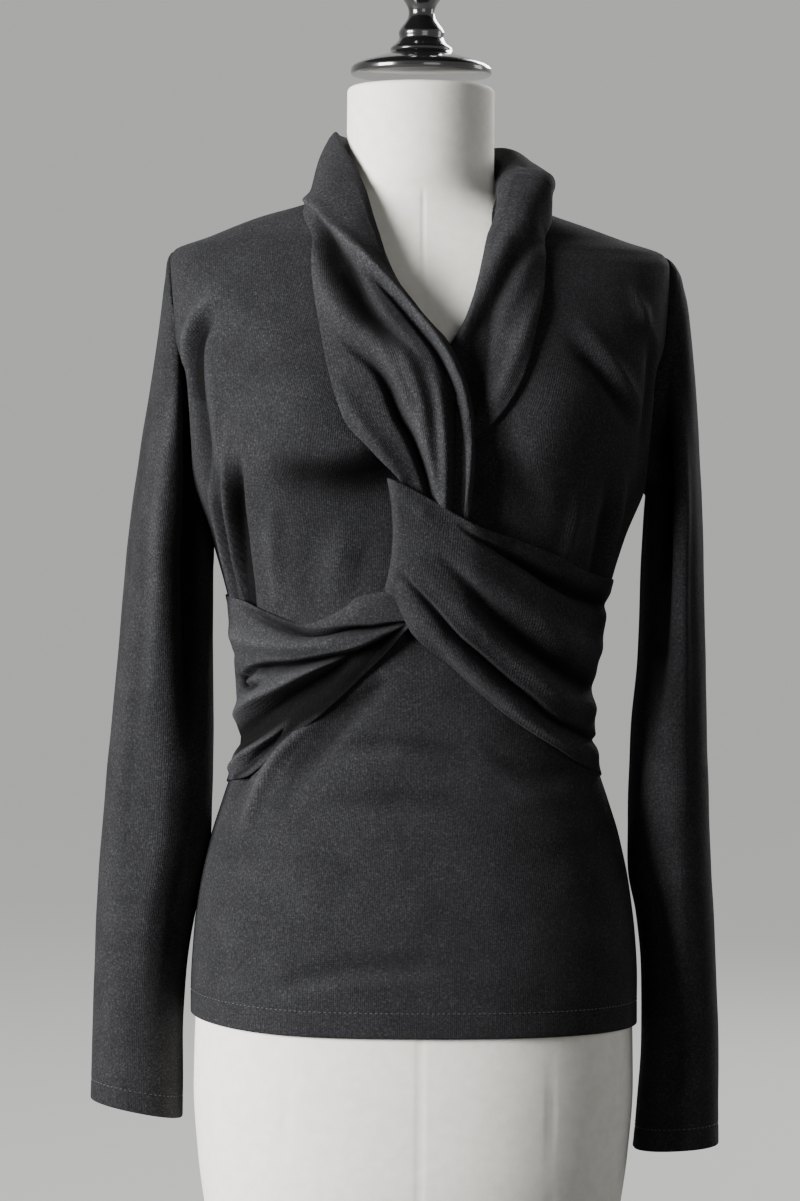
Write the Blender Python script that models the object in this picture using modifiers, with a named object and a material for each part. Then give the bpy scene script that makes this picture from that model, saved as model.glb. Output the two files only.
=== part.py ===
"""A long-sleeved jersey top whose shawl collar twists at the chest, worn by a limbless dress form.

Tables are in millimetres and degrees, and MM turns them into the scene's metres.
+X is the wearer's left, -Y the front and +Z up. The origin is under the middle of the stand.
A place on the body is a turn (degrees round from the centre front) and a height; a lift is the
distance that a cloth's outer face stands off the body's surface there.
"""

import math

import bmesh
import bpy
import numpy as np

MM = 0.001
RIGHT, LEFT = -1, 1  # the wearer's sides, as the sign of x

# Driving sizes, in millimetres
CLOTH = 1.6  # the jersey's wall
SEAM_GAP = 1.0  # between two pieces that are sewn together
HEM_HEIGHT = 324.0
SHOULDER_ROWS = [882.0, 889.0, 898.0, 911.0]  # from the sleeve's top to where the seam meets the neck
FORM_BOTTOM = 112.0
NECK_TOP = 1004.0
BASE_RADIUS = 150.0
BASE_THICKNESS = 22.0
POST_RADIUS = 16.0
TOUCH_GAP = 0.3  # left between pieces that rest on each other

# The garment's outer surface, a row for each level section, and how far inside it the form lies
BODY = {
    "height": [112, 194, 231, 280, 312, 350, 390, 425, 461, 483, 515, 546, 580, 628, 670,
               712, 745, 780, 820, 850, 868, 877, 886, 898, 911, 918, 925, 934, 970, 1004],
    "half_width": [138, 152, 157, 160.5, 160.5, 160.5, 158.5, 154, 146, 139, 129, 124, 126, 136, 147,
                   158, 167, 173, 177, 180, 181, 176, 150, 116, 80, 67, 59.5, 56, 56, 56],
    "front": [98, 109, 113, 114, 113, 112, 109, 104, 99, 95, 91, 89, 91, 96, 101,
              104, 102, 97, 87, 76, 67, 62, 58, 55.5, 53.5, 53, 54, 55, 55, 55],
    "back": [100, 112, 117, 120, 120, 120, 116, 108, 99, 92, 86, 84, 87, 95, 103,
             109, 111, 112, 109, 101, 92, 86, 80, 73, 66, 62, 59.5, 58, 57, 57],
    "squareness": [2.3, 2.3, 2.3, 2.3, 2.3, 2.3, 2.3, 2.3, 2.3, 2.3, 2.3, 2.3, 2.3, 2.3, 2.4,
                   2.6, 2.9, 3.1, 3.1, 2.8, 2.4, 2.1, 2.0, 2.0, 2.0, 2.0, 2.0, 2.0, 2.0, 2.0],
    "form_inset": [2.6, 2.6, 2.6, 2.6, 3, 4, 4.2, 4.2, 4.2, 4.2, 4.2, 4.2, 4.2, 4.2, 4.4,
                   4.6, 6, 8, 8, 6.5, 5.6, 5.2, 4.8, 4.2, 3.6, 3, 3, 3, 3, 3],
}
BUST = {"x": 80.0, "height": 738.0, "lift": 24.0, "across": 62.0, "above": 86.0, "below": 58.0}
ARMHOLE = {"height": 792.0, "half_height": 84.0, "front": 44.0, "back": 50.0}

# The bodice's inner edge, from the centre front to the shoulder
NECKLINE = {"height": [616, 750, 770, 800, 830, 860, 890, 911], "x": [0.3, 0.3, 10, 24, 37, 48, 57, 62]}
UNDERBUST_SEAM = {"middle": 616.0, "side": 565.0}
FORM_BUST_ROWS = [645, 690, 728, 762, 800, 835]  # extra sections where the form curves most

# A row for each section of a sleeve: its outer and inner edge from the front, and its depth
SLEEVE_RIGHT = {
    "outer_x": [186, 190, 193.5, 197, 201, 206, 212.5, 219, 225, 229, 231, 232],
    "outer_z": [866, 846, 815, 775, 730, 680, 612, 540, 468, 396, 330, 268],
    "inner_x": [165, 162, 160.5, 159.5, 158, 156, 151, 148, 150, 163, 166, 165],
    "inner_z": [702, 692, 683, 672, 660, 644, 592, 528, 460, 388, 322, 255],
    "front": [42, 46, 50, 53, 55, 55, 53, 49, 45, 42, 40, 39],
    "back": [48, 52, 54, 56, 57, 57, 55, 51, 47, 43, 41, 40],
    "centre_y": [2, 4, 6, 8, 9, 10, 11, 12, 13, 14, 15, 15],
}
SLEEVE_LEFT = {
    "outer_x": [190, 195, 198.5, 200.5, 202.5, 205, 208, 211.5, 214.5, 217, 220, 221.5],
    "outer_z": [864, 843, 812, 772, 728, 672, 600, 520, 440, 380, 310, 237],
    "inner_x": [166, 165, 164.5, 164, 163.5, 163, 161.5, 156, 155, 165, 166, 160.5],
    "inner_z": [702, 692, 684, 673, 660, 642, 590, 518, 440, 376, 306, 233],
    "front": [42, 46, 50, 53, 55, 55, 53, 49, 45, 42, 40, 39],
    "back": [48, 52, 54, 56, 57, 57, 55, 51, 47, 43, 41, 40],
    "centre_y": [2, 4, 6, 8, 9, 10, 11, 12, 13, 14, 15, 15],
}
SLEEVE_SQUARENESS = 2.2

# A row for each section of a collar, from the centre back to the twist. roll is the fold at the
# neck edge, fall the outer edge, stand the seam that the inner leg is sewn to. Turns go towards
# the collar's own side
COLLAR_RIGHT = {
    "roll_turn": [179.5, 150, 120, 93, 62, 40.2, 27, 14, 3, -10, -16.4, -19.5, -19.5, -18, -16, -14],
    "roll_z": [958, 960, 963, 964, 945, 914, 880, 848, 825, 803, 780, 753, 725, 700, 680, 668],
    "fall_turn": [179.5, 150, 116, 91, 75, 60, 50.5, 44, 39.5, 36, 32.5, 29, 20, 8.5, 6, 4],
    "fall_z": [902, 903, 908, 914, 908, 890, 867, 838, 812, 789, 767, 748, 728, 707, 690, 674],
    "stand_turn": [179.5, 150, 120, 93, 66, 46, 36, 26.6, 19.4, 12.6, 6, -1.5, -6, -7, -7, -6],
    "stand_z": [921, 921, 921, 920, 915, 903, 875, 845, 822, 800, 777, 752, 725, 703, 684, 670],
    "stand_lift": [2, 2, 2, 2, 2, 2, 2, 2, 2.4, 5, 10.4, 11, 11, 11, 11, 11],
    "roll_lift": [5, 5, 5, 5, 5.4, 5.6, 5.8, 7, 10.4, 14, 14, 14, 14, 14, 14, 14],
    "roll_half": [3, 3, 3, 3, 3.2, 3.4, 3.4, 3.4, 3.4, 3.2, 3, 3, 3, 3, 3, 3],
    "fall_lift": [3.6, 3.6, 3.6, 3.6, 3.6, 3.6, 3.6, 3.6, 3.6, 3.6, 4.4, 7, 11, 14, 14, 14],
    "puff": [3, 3, 3, 4, 6, 7, 7, 8, 8, 7, 6, 5, 2, 0, 0, 0],
}
COLLAR_LEFT = {
    "roll_turn": [179.5, 150, 120, 93, 68, 52, 41, 30, 22.5, 15.5, 8, 2, -5, -10],
    "roll_z": [956, 957, 957, 951, 937, 914, 889.5, 862, 837, 815, 797, 777, 752, 735],
    "fall_turn": [179.5, 150, 118, 92, 76, 62, 53, 47, 42, 38, 33, 26.5, 17, 6],
    "fall_z": [902, 903, 907, 911, 904, 887, 865, 843, 820, 796, 773, 754, 738, 722],
    "stand_turn": [179.5, 150, 120, 93, 68, 46, 40, 30, 22.4, 16, 10.6, 4.8, -1.5, -5],
    "stand_z": [921, 921, 921, 920, 915, 904, 882, 856, 832, 811, 793, 773, 752, 731],
    "stand_lift": [2, 2, 2, 2, 2, 2, 2, 2, 2, 2, 2, 2.4, 3, 3],
    "roll_lift": [5, 6, 8, 11, 9, 6.4, 5.8, 5.6, 5.4, 4.4, 4.3, 4.4, 4.8, 4.8],
    "roll_half": [3, 4, 6, 8, 7, 4.4, 3.8, 3.6, 3.4, 2.4, 2.2, 2, 1.8, 1.8],
    "fall_lift": [3.6, 3.6, 3.6, 3.6, 3.6, 3.6, 3.6, 3.6, 3.6, 3.6, 3.6, 3.6, 3.6, 3.6],
    "puff": [3, 4, 6, 8, 9, 9, 8, 7, 4, 1, 0.5, 0, 0, 0],
}

# A row for each section of a sash, from inside the twist to the side seam
SASH_LEFT = {
    "top_turn": [-5, -12, -15.6, -13, 1.8, 17.3, 26, 33.7, 46.2, 65, 89.4],
    "top_z": [700, 708, 712, 711, 700, 686, 678, 671, 661, 646, 641],
    "foot_turn": [-6, -13, -15.5, -12.5, -4.7, 11.6, 22, 32.2, 50.9, 70.5, 89.4],
    "foot_z": [641, 639, 637, 633, 606, 583, 567, 552.6, 529, 509, 503],
    "lift": [4.5, 6.5, 13, 20.5, 24, 22.5, 18, 14, 11, 9, 3.4],
    "top_lift": [4.5, 6.5, 13, 20.5, 21.5, 21.5, 14, 6, 3.6, 3.6, 3.4],
    "foot_lift": [4.5, 6.5, 12, 17, 16, 9, 5, 3.6, 3.6, 3.6, 3.4],
}
SASH_RIGHT = {
    "top_turn": [3, -6, -13, -24.7, -32, -46.2, -58, -71.4, -89.4],
    "top_z": [624, 629, 634, 630.4, 620.5, 610, 617, 626.5, 629],
    "foot_turn": [3.5, -1, -4.5, -15, -26, -38, -52, -70.5, -89.4],
    "foot_z": [608, 608, 611, 591, 573, 553, 531, 501, 497],
    "lift": [11, 12, 12.5, 12.5, 12, 11, 10, 9, 3.4],
    "top_lift": [11, 11.5, 11, 6, 3.8, 3.6, 3.6, 3.6, 3.4],
    "foot_lift": [11, 11.5, 10, 5.5, 3.8, 3.6, 3.6, 3.6, 3.4],
}
# The main pleats of a sash: place from top edge (0) to foot (1), depth, and half width as a share
SASH_LEFT_PLEATS = {"at": [0.13, 0.42, 0.72], "depth": [3.5, 3.0, 4.5], "half": [0.05, 0.09, 0.05]}
SASH_RIGHT_PLEATS = {"at": [0.2, 0.45, 0.85], "depth": [3.0, 3.5, 4.0], "half": [0.05, 0.06, 0.06]}


def clear_scene():
    for obj in list(bpy.data.objects):
        bpy.data.objects.remove(obj)


def smooth_column(stations, values, at):
    """Values between a table's rows, on a curve that never overshoots them."""
    xs, ys, at = np.asarray(stations, float), np.asarray(values, float), np.asarray(at, float)
    widths = np.diff(xs)
    rises = np.diff(ys) / widths
    slopes = np.empty_like(ys)
    slopes[0], slopes[-1] = rises[0], rises[-1]
    product = rises[:-1] * rises[1:]
    total = np.where(product > 0, rises[:-1] + rises[1:], 1.0)
    slopes[1:-1] = np.where(product > 0, 2 * product / total, 0.0)
    i = np.clip(np.searchsorted(xs, at, side="right") - 1, 0, len(xs) - 2)
    t = np.clip((at - xs[i]) / widths[i], 0, 1)
    return (
        ys[i] * (1 + 2 * t) * (1 - t) ** 2
        + slopes[i] * widths[i] * t * (1 - t) ** 2
        + ys[i + 1] * t**2 * (3 - 2 * t)
        + slopes[i + 1] * widths[i] * t**2 * (t - 1)
    )


def row_value(table, column, share):
    """A table's column at a share from its first row (0) to its last (1)."""
    rows = len(table[column])
    return smooth_column(np.linspace(0, 1, rows), table[column], share)


def body_column(column, height):
    return smooth_column(BODY["height"], BODY[column], height)


def skin(turn, height):
    """A point of the garment's outer surface, bust included."""
    half, square = body_column("half_width", height), body_column("squareness", height)
    sin, cos = np.sin(np.radians(turn)), np.cos(np.radians(turn))
    depth = np.where(cos > 0, body_column("front", height), body_column("back", height))
    radius = (np.abs(sin / half) ** square + np.abs(cos / depth) ** square) ** (-1 / square)
    x, y = radius * sin, -radius * cos
    spread = np.where(height > BUST["height"], BUST["above"], BUST["below"])
    fall = np.exp(-(((height - BUST["height"]) / spread) ** 2))
    cups = sum(np.exp(-(((x - side * BUST["x"]) / BUST["across"]) ** 2)) for side in (RIGHT, LEFT))
    facing = np.clip(cos / 0.5, 0, 1)
    y = y - BUST["lift"] * fall * cups * facing**2 * (3 - 2 * facing)
    return np.stack(np.broadcast_arrays(x, y, height), axis=-1)


def on_body(turn, height, lift):
    """A point that far off the garment's surface, straight out from it."""
    turn, height, lift = np.broadcast_arrays(*(np.asarray(v, float) for v in (turn, height, lift)))
    step = 0.5
    round_it = skin(turn + step, height) - skin(turn - step, height)
    up_it = skin(turn, height + step) - skin(turn, height - step)
    out = np.cross(round_it, up_it)
    out /= np.linalg.norm(out, axis=-1, keepdims=True)
    return skin(turn, height) + out * lift[..., None]


def turn_at(x, height):
    """How far round the front a given x lies at a height, held at the side seam."""
    half, front = body_column("half_width", height), body_column("front", height)
    square = body_column("squareness", height)
    limit = half * math.sin(math.radians(89.6))
    across = np.minimum(np.abs(x), limit) / half
    return np.degrees(np.arctan2(np.sign(x) * across * half, front * (1 - across**square) ** (1 / square)))


def turn_of_gap(height, gap):
    """The turn that makes a gap of that width at the side."""
    return np.degrees(gap / body_column("half_width", height))


def armhole_turn(height, depth):
    """Where a panel ends at the armhole, as degrees in front of or behind the side seam."""
    rise = np.clip(np.abs(height - ARMHOLE["height"]) / ARMHOLE["half_height"], 0, 1)
    y = depth * np.sqrt(1 - rise**2)
    half, square = body_column("half_width", height), body_column("squareness", height)
    behind = body_column("front" if depth == ARMHOLE["front"] else "back", height)
    x = half * (1 - (y / behind) ** square) ** (1 / square)
    return np.degrees(np.arctan2(y, x))


def material(name, color, roughness):
    made = bpy.data.materials.new(name)
    made.use_nodes = True
    shader = made.node_tree.nodes["Principled BSDF"]
    shader.inputs["Base Color"].default_value = (*color, 1)
    shader.inputs["Roughness"].default_value = roughness
    shader.inputs["Metallic"].default_value = 0.0
    return made


def finish_object(name, mesh, look):
    obj = bpy.data.objects.new(name, mesh)
    mesh.materials.append(look)
    mesh.shade_smooth()
    GARMENT.objects.link(obj)
    return obj


def loft(name, points, look, closed=False, capped=False, flip=False):
    """A surface through rows of points in millimetres; closed joins each row's ends."""
    rows, columns = points.shape[:2]
    mesh = bpy.data.meshes.new(name)
    bm = bmesh.new()
    verts = [[bm.verts.new(points[i, j] * MM) for j in range(columns)] for i in range(rows)]
    across = columns if closed else columns - 1
    for i in range(rows - 1):
        for j in range(across):
            k = (j + 1) % columns
            corners = (verts[i][j], verts[i][k], verts[i + 1][k], verts[i + 1][j])
            bm.faces.new(corners[::-1] if flip else corners)
    if capped:
        bm.faces.new(verts[0] if flip else verts[0][::-1])
        bm.faces.new(verts[-1][::-1] if flip else verts[-1])
    bm.to_mesh(mesh)
    bm.free()
    return finish_object(name, mesh, look)


def thicken(obj, thickness):
    """Gives an open surface its cloth wall, inwards."""
    wall = obj.modifiers.new("wall", "SOLIDIFY")
    wall.thickness = thickness * MM
    wall.offset = -1
    wall.use_even_offset = False
    return obj


def underbust_height(share):
    """The seam under the sashes, from the centre front (0) to the side (1)."""
    return UNDERBUST_SEAM["middle"] + (UNDERBUST_SEAM["side"] - UNDERBUST_SEAM["middle"]) * share


def armhole_rows():
    """Heights from the underarm to the shoulder tip, close together at both ends."""
    return ARMHOLE["height"] - ARMHOLE["half_height"] * np.cos(np.linspace(0, math.pi, 9))


def front_edge(heights):
    """The bodice's outer edge: side seam, armhole and shoulder seam, in degrees of turn."""
    return 90 - armhole_turn(heights, ARMHOLE["front"]) - turn_of_gap(heights, SEAM_GAP / 2)


def bodice(side, look):
    low = np.linspace(0, 1, 6)[:-1]
    share = np.linspace(0, 1, 12)
    under = UNDERBUST_SEAM["side"] + (armhole_rows()[0] - UNDERBUST_SEAM["side"]) * low
    levels = np.concatenate([under, armhole_rows(), SHOULDER_ROWS])
    rise = (levels - UNDERBUST_SEAM["side"]) / (levels[-1] - UNDERBUST_SEAM["side"])
    heights = levels[:, None] + (underbust_height(share) - UNDERBUST_SEAM["side"]) * (1 - rise[:, None]) ** 3
    inner_x = smooth_column(NECKLINE["height"], NECKLINE["x"], heights)
    inner, outer = turn_at(inner_x, heights), front_edge(heights)
    turns = inner + (outer - inner) * share
    name = "bodice_right" if side == RIGHT else "bodice_left"
    surface = loft(name, on_body(side * turns, heights, 0.0), look, flip=side == RIGHT)
    return thicken(surface, CLOTH)


def lower_front(look):
    share = np.linspace(-1, 1, 19)
    top = underbust_height(np.abs(share)) - SEAM_GAP
    rise = np.linspace(0, 1, 10)[:, None]
    heights = HEM_HEIGHT + (top - HEM_HEIGHT) * rise
    turns = share * (90 - turn_of_gap(heights, SEAM_GAP / 2))
    return thicken(loft("lower_front", on_body(turns, heights, 0.0), look), CLOTH)


def back(look):
    below = np.linspace(HEM_HEIGHT, armhole_rows()[0], 12)[:-1]
    levels = np.concatenate([below, armhole_rows(), SHOULDER_ROWS])
    heights = levels[:, None]
    edge = 90 + armhole_turn(heights, ARMHOLE["back"]) + turn_of_gap(heights, SEAM_GAP / 2)
    turns = edge + (360 - 2 * edge) * np.linspace(0, 1, 18)
    return thicken(loft("back", on_body(turns, np.broadcast_to(heights, turns.shape), 0.0), look), CLOTH)


def armhole_ring(side, angles):
    """The sleeve's first ring, just outside the armhole's edge."""
    heights = ARMHOLE["height"] + ARMHOLE["half_height"] * np.cos(angles)
    depth = np.where(np.sin(angles) > 0, ARMHOLE["front"], ARMHOLE["back"])
    y = -depth * np.sin(angles)
    half, square = body_column("half_width", heights), body_column("squareness", heights)
    reach = np.where(y < 0, body_column("front", heights), body_column("back", heights))
    x = half * (1 - (np.abs(y) / reach) ** square) ** (1 / square) + 1.5 * SEAM_GAP
    return np.stack([side * x, y, heights], axis=-1)


def sleeve(side, look):
    table = SLEEVE_RIGHT if side == RIGHT else SLEEVE_LEFT
    angles = np.radians(np.arange(0, 360, 20))
    outward, forward = np.cos(angles), np.sin(angles)
    power = 2 / SLEEVE_SQUARENESS
    outward = np.sign(outward) * np.abs(outward) ** power
    forward = np.sign(forward) * np.abs(forward) ** power
    rings = [armhole_ring(side, angles)]
    for share in np.linspace(0, 1, 13):
        row = {column: row_value(table, column, share) for column in table}
        middle_x, reach_x = (row["outer_x"] + row["inner_x"]) / 2, (row["outer_x"] - row["inner_x"]) / 2
        middle_z, reach_z = (row["outer_z"] + row["inner_z"]) / 2, (row["outer_z"] - row["inner_z"]) / 2
        depth = np.where(forward > 0, row["front"], row["back"])
        rings.append(np.stack([
            side * (middle_x + reach_x * outward),
            row["centre_y"] - depth * forward,
            middle_z + reach_z * outward,
        ], axis=-1))
    name = "sleeve_right" if side == RIGHT else "sleeve_left"
    return thicken(loft(name, np.stack(rings), look, closed=True, flip=side == LEFT), CLOTH)


def collar_section(table, share):
    """The points across a collar: up its inner leg, round the roll, and down the fall."""
    row = {column: row_value(table, column, share) for column in table}
    inner = row["roll_lift"] - row["roll_half"]
    outer = row["roll_lift"] + row["roll_half"]
    points = []
    for toward in (1.0, 0.6, 0.25, 0.08):
        turn = row["roll_turn"] + (row["stand_turn"] - row["roll_turn"]) * toward
        height = row["roll_z"] + (row["stand_z"] - row["roll_z"]) * toward
        points.append(on_body(turn, height, row["stand_lift"] + (inner - row["stand_lift"]) * (1 - toward**3)))
    points.append(on_body(row["roll_turn"], row["roll_z"], row["roll_lift"]))
    top = on_body(row["roll_turn"], row["roll_z"], outer)
    end = on_body(row["fall_turn"], row["fall_z"], row["fall_lift"])
    chord = end - top
    round_it = np.cross(chord, on_body(row["roll_turn"] + 5, row["roll_z"], outer) - top)
    bulge = round_it / np.linalg.norm(round_it)
    if bulge @ (top * [1, 1, 0]) < 0:
        bulge = -bulge
    bridging = np.clip((row["roll_z"] - 865) / 60, 0, 1)
    for toward in (0.06, 0.18, 0.35, 0.52, 0.7, 0.86, 1.0):
        puff = row["puff"] * math.sin(math.pi * toward)
        lift = outer + (row["fall_lift"] - outer) * toward**2 + puff
        turn = row["roll_turn"] + (row["fall_turn"] - row["roll_turn"]) * toward
        height = row["roll_z"] + (row["fall_z"] - row["roll_z"]) * toward
        followed = on_body(turn, height, lift)
        spanned = top + chord * toward + bulge * puff
        points.append(followed + (spanned - followed) * bridging)
    return np.stack(points)


def collar(side, look):
    table = COLLAR_RIGHT if side == RIGHT else COLLAR_LEFT
    sections = np.stack([collar_section(table, share) for share in np.linspace(0, 1, 21)])
    name = "collar_right" if side == RIGHT else "collar_left"
    return thicken(loft(name, sections * [side, 1, 1], look, flip=side == RIGHT), CLOTH)


def pleat_depth(pleats, across):
    return sum(
        depth * np.exp(-(((across - at) / half) ** 2))
        for at, depth, half in zip(pleats["at"], pleats["depth"], pleats["half"])
    )


def sash(name, table, pleats, look, flip):
    share = np.linspace(0, 1, 19)[:, None]
    across = np.linspace(0, 1, 11)
    row = {column: row_value(table, column, share) for column in table}
    turn = row["top_turn"] + (row["foot_turn"] - row["top_turn"]) * across
    height = row["top_z"] + (row["foot_z"] - row["top_z"]) * across
    crown = 1 - np.abs(2 * across - 1) ** 4
    swell = np.sin(math.pi * np.clip(share * 1.1, 0, 1)) ** 0.5
    edge_lift = row["top_lift"] + (row["foot_lift"] - row["top_lift"]) * across
    lift = edge_lift + (row["lift"] - edge_lift) * crown
    lift = lift - pleat_depth(pleats, across) * crown * swell
    return thicken(loft(name, on_body(turn, height, lift), look, flip=flip), CLOTH)


def form_torso(look):
    """The dress form's covered body, from its flat underside to the top of its neck."""
    heights = np.array(sorted(BODY["height"] + FORM_BUST_ROWS), float)[:, None]
    points = on_body(np.arange(0, 360, 12), heights, -body_column("form_inset", heights))
    return loft("form_torso", points, look, closed=True, capped=True)


def turned(name, profile, look, steps=28):
    """A piece turned on a lathe about the Z axis, from (radius, height) in millimetres, top to bottom."""
    mesh = bpy.data.meshes.new(name)
    bm = bmesh.new()
    verts = [bm.verts.new((radius * MM, 0, height * MM)) for radius, height in profile]
    for first, second in zip(verts, verts[1:]):
        bm.edges.new((first, second))
    bm.to_mesh(mesh)
    bm.free()
    obj = finish_object(name, mesh, look)
    screw = obj.modifiers.new("turning", "SCREW")
    screw.steps = screw.render_steps = steps
    screw.use_merge_vertices = True
    screw.merge_threshold = 0.0001
    return obj


def neck_cap(look):
    """The turned knob that closes the neck."""
    foot = NECK_TOP + TOUCH_GAP
    profile = [(0, 78), (9, 76.5), (15, 71), (17, 64), (15, 57), (10.5, 51), (9, 46), (10, 41),
               (15, 35), (17, 31), (15.5, 27), (19, 23), (23, 20), (22, 16.5), (34, 13),
               (47, 9), (51, 6), (51, 1.5), (49.5, 0), (0, 0)]
    return turned("neck_cap", [(radius, foot + height) for radius, height in profile], look)


def stand(look):
    top = FORM_BOTTOM - TOUCH_GAP
    foot = BASE_THICKNESS + TOUCH_GAP
    post = [(0, top), (30, top), (30, top - 6), (20, top - 10), (POST_RADIUS, top - 16),
            (POST_RADIUS, foot + 16), (20, foot + 10), (26, foot + 6), (26, foot), (0, foot)]
    turned("stand_post", post, look)
    edge = BASE_RADIUS
    base = [(0, BASE_THICKNESS), (edge - 34, BASE_THICKNESS), (edge - 14, BASE_THICKNESS - 3),
            (edge - 4, BASE_THICKNESS - 8), (edge, BASE_THICKNESS - 14), (edge - 2, 3), (edge - 5, 0), (0, 0)]
    turned("stand_base", base, look, steps=40)


def main():
    jersey = material("charcoal_wool_jersey", (0.026, 0.026, 0.029), 0.9)
    canvas = material("ecru_canvas", (0.78, 0.74, 0.66), 0.8)
    lacquer = material("black_lacquered_wood", (0.008, 0.008, 0.008), 0.15)
    steel = material("black_painted_steel", (0.012, 0.012, 0.013), 0.35)
    form_torso(canvas)
    neck_cap(lacquer)
    stand(steel)
    lower_front(jersey)
    back(jersey)
    for side in (RIGHT, LEFT):
        bodice(side, jersey)
        sleeve(side, jersey)
        collar(side, jersey)
    sash("sash_left", SASH_LEFT, SASH_LEFT_PLEATS, jersey, flip=True)
    sash("sash_right", SASH_RIGHT, SASH_RIGHT_PLEATS, jersey, flip=False)


clear_scene()
GARMENT = bpy.data.collections.new("sweater_on_dress_form")
bpy.context.scene.collection.children.link(GARMENT)
main()
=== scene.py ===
import math

import bmesh
import bpy
import numpy as np
from mathutils import Matrix, Vector


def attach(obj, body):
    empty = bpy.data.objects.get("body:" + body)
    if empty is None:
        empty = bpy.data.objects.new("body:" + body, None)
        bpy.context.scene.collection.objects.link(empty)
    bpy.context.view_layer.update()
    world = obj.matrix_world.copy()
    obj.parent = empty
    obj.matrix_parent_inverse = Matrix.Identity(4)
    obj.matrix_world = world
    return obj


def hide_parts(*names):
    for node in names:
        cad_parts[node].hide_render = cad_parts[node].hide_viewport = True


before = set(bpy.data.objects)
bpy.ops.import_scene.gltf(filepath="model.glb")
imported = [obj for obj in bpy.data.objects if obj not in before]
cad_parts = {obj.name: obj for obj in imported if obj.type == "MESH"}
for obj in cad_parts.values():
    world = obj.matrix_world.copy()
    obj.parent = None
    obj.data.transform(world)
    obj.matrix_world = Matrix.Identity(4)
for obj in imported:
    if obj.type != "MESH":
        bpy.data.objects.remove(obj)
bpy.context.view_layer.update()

mm = 0.001  # the tables below are in millimetres and degrees
right, left = -1, 1  # the wearer's sides, as the sign of x

# The body that the top is cut to: level sections from the hips to the neck
body = {
    "height": [112, 194, 231, 280, 312, 350, 390, 425, 461, 483, 515, 546, 580, 628, 670,
               712, 745, 780, 820, 850, 868, 877, 886, 898, 911, 918, 925, 934, 970, 1004],
    "halfWidth": [138, 152, 157, 160.5, 160.5, 160.5, 158.5, 154, 146, 139, 129, 124, 126, 136, 148,
                  164, 169, 173, 177, 180, 181, 176, 150, 116, 80, 67, 59.5, 56, 56, 56],
    "front": [98, 109, 113, 114, 113, 112, 109, 104, 99, 95, 91, 89, 91, 96, 101,
              104, 102, 97, 87, 76, 67, 62, 58, 55.5, 53.5, 53, 54, 55, 55, 55],
    "back": [100, 112, 117, 120, 120, 120, 116, 108, 99, 92, 86, 84, 87, 95, 103,
             109, 111, 112, 109, 101, 92, 86, 80, 73, 66, 62, 59.5, 58, 57, 57],
    "squareness": [2.3, 2.3, 2.3, 2.3, 2.3, 2.3, 2.3, 2.3, 2.3, 2.3, 2.3, 2.3, 2.3, 2.3, 2.4,
                   2.6, 2.9, 3.1, 3.1, 2.8, 2.4, 2.1, 2.0, 2.0, 2.0, 2.0, 2.0, 2.0, 2.0, 2.0],
    "formInset": [2.6, 2.6, 2.6, 2.6, 3, 4.2, 5.4, 6, 6.4, 6.4, 6.4, 6.4, 6.4, 8, 12.5,
                  13, 10, 8, 8, 6.5, 5.6, 5.2, 4.8, 4.2, 3.6, 3, 3, 3, 3, 3],
}
bust = {"x": 80.0, "height": 738.0, "lift": 24.0, "across": 62.0, "above": 86.0, "below": 58.0}
armhole = {"height": 792.0, "halfHeight": 84.0, "front": 28.0, "back": 50.0,
           "sink": 8.0, "from": 706.0, "to": 812.0, "easeFoot": 34.0, "easeTop": 40.0}
cloth = {"wall": 1.1, "clear": 1.9, "tightness": 2.0}  # clear is kept between the form and a fold


def cubic(t, before, after, leaving, arriving):  # from one value to the next, with these slopes
    return (before * (1 + 2 * t) * (1 - t) ** 2 + leaving * t * (1 - t) ** 2
            + after * t**2 * (3 - 2 * t) + arriving * t**2 * (t - 1))


def smoothColumn(stations, values, at):  # between a table's rows, never overshooting them
    xs, ys, at = np.asarray(stations, float), np.asarray(values, float), np.asarray(at, float)
    widths = np.diff(xs)
    rises = np.diff(ys) / widths
    slopes = np.empty_like(ys)
    slopes[0], slopes[-1] = rises[0], rises[-1]
    product = rises[:-1] * rises[1:]
    total = np.where(product > 0, rises[:-1] + rises[1:], 1.0)
    slopes[1:-1] = np.where(product > 0, 2 * product / total, 0.0)
    i = np.clip(np.searchsorted(xs, at, side="right") - 1, 0, len(xs) - 2)
    t = np.clip((at - xs[i]) / widths[i], 0, 1)
    return cubic(t, ys[i], ys[i + 1], slopes[i] * widths[i], slopes[i + 1] * widths[i])


def rowValues(table, share):
    return {name: smoothColumn(np.linspace(0, 1, len(values)), values, share)
            for name, values in table.items()}


def bodyColumn(name, height):
    return smoothColumn(body["height"], body[name], height)


def smoothStep(t):
    t = np.clip(t, 0, 1)
    return t * t * (3 - 2 * t)


def skin(turn, height):
    half, square = bodyColumn("halfWidth", height), bodyColumn("squareness", height)
    sin, cos = np.sin(np.radians(turn)), np.cos(np.radians(turn))
    depth = np.where(cos > 0, bodyColumn("front", height), bodyColumn("back", height))
    radius = (np.abs(sin / half) ** square + np.abs(cos / depth) ** square) ** (-1 / square)
    x, y = radius * sin, -radius * cos
    spread = np.where(height > bust["height"], bust["above"], bust["below"])
    fall = np.exp(-(((height - bust["height"]) / spread) ** 2))
    cups = sum(np.exp(-(((x - side * bust["x"]) / bust["across"]) ** 2)) for side in (right, left))
    y = y - bust["lift"] * fall * cups * smoothStep(cos / 0.5)
    return np.stack(np.broadcast_arrays(x, y, height), axis=-1)


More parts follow.
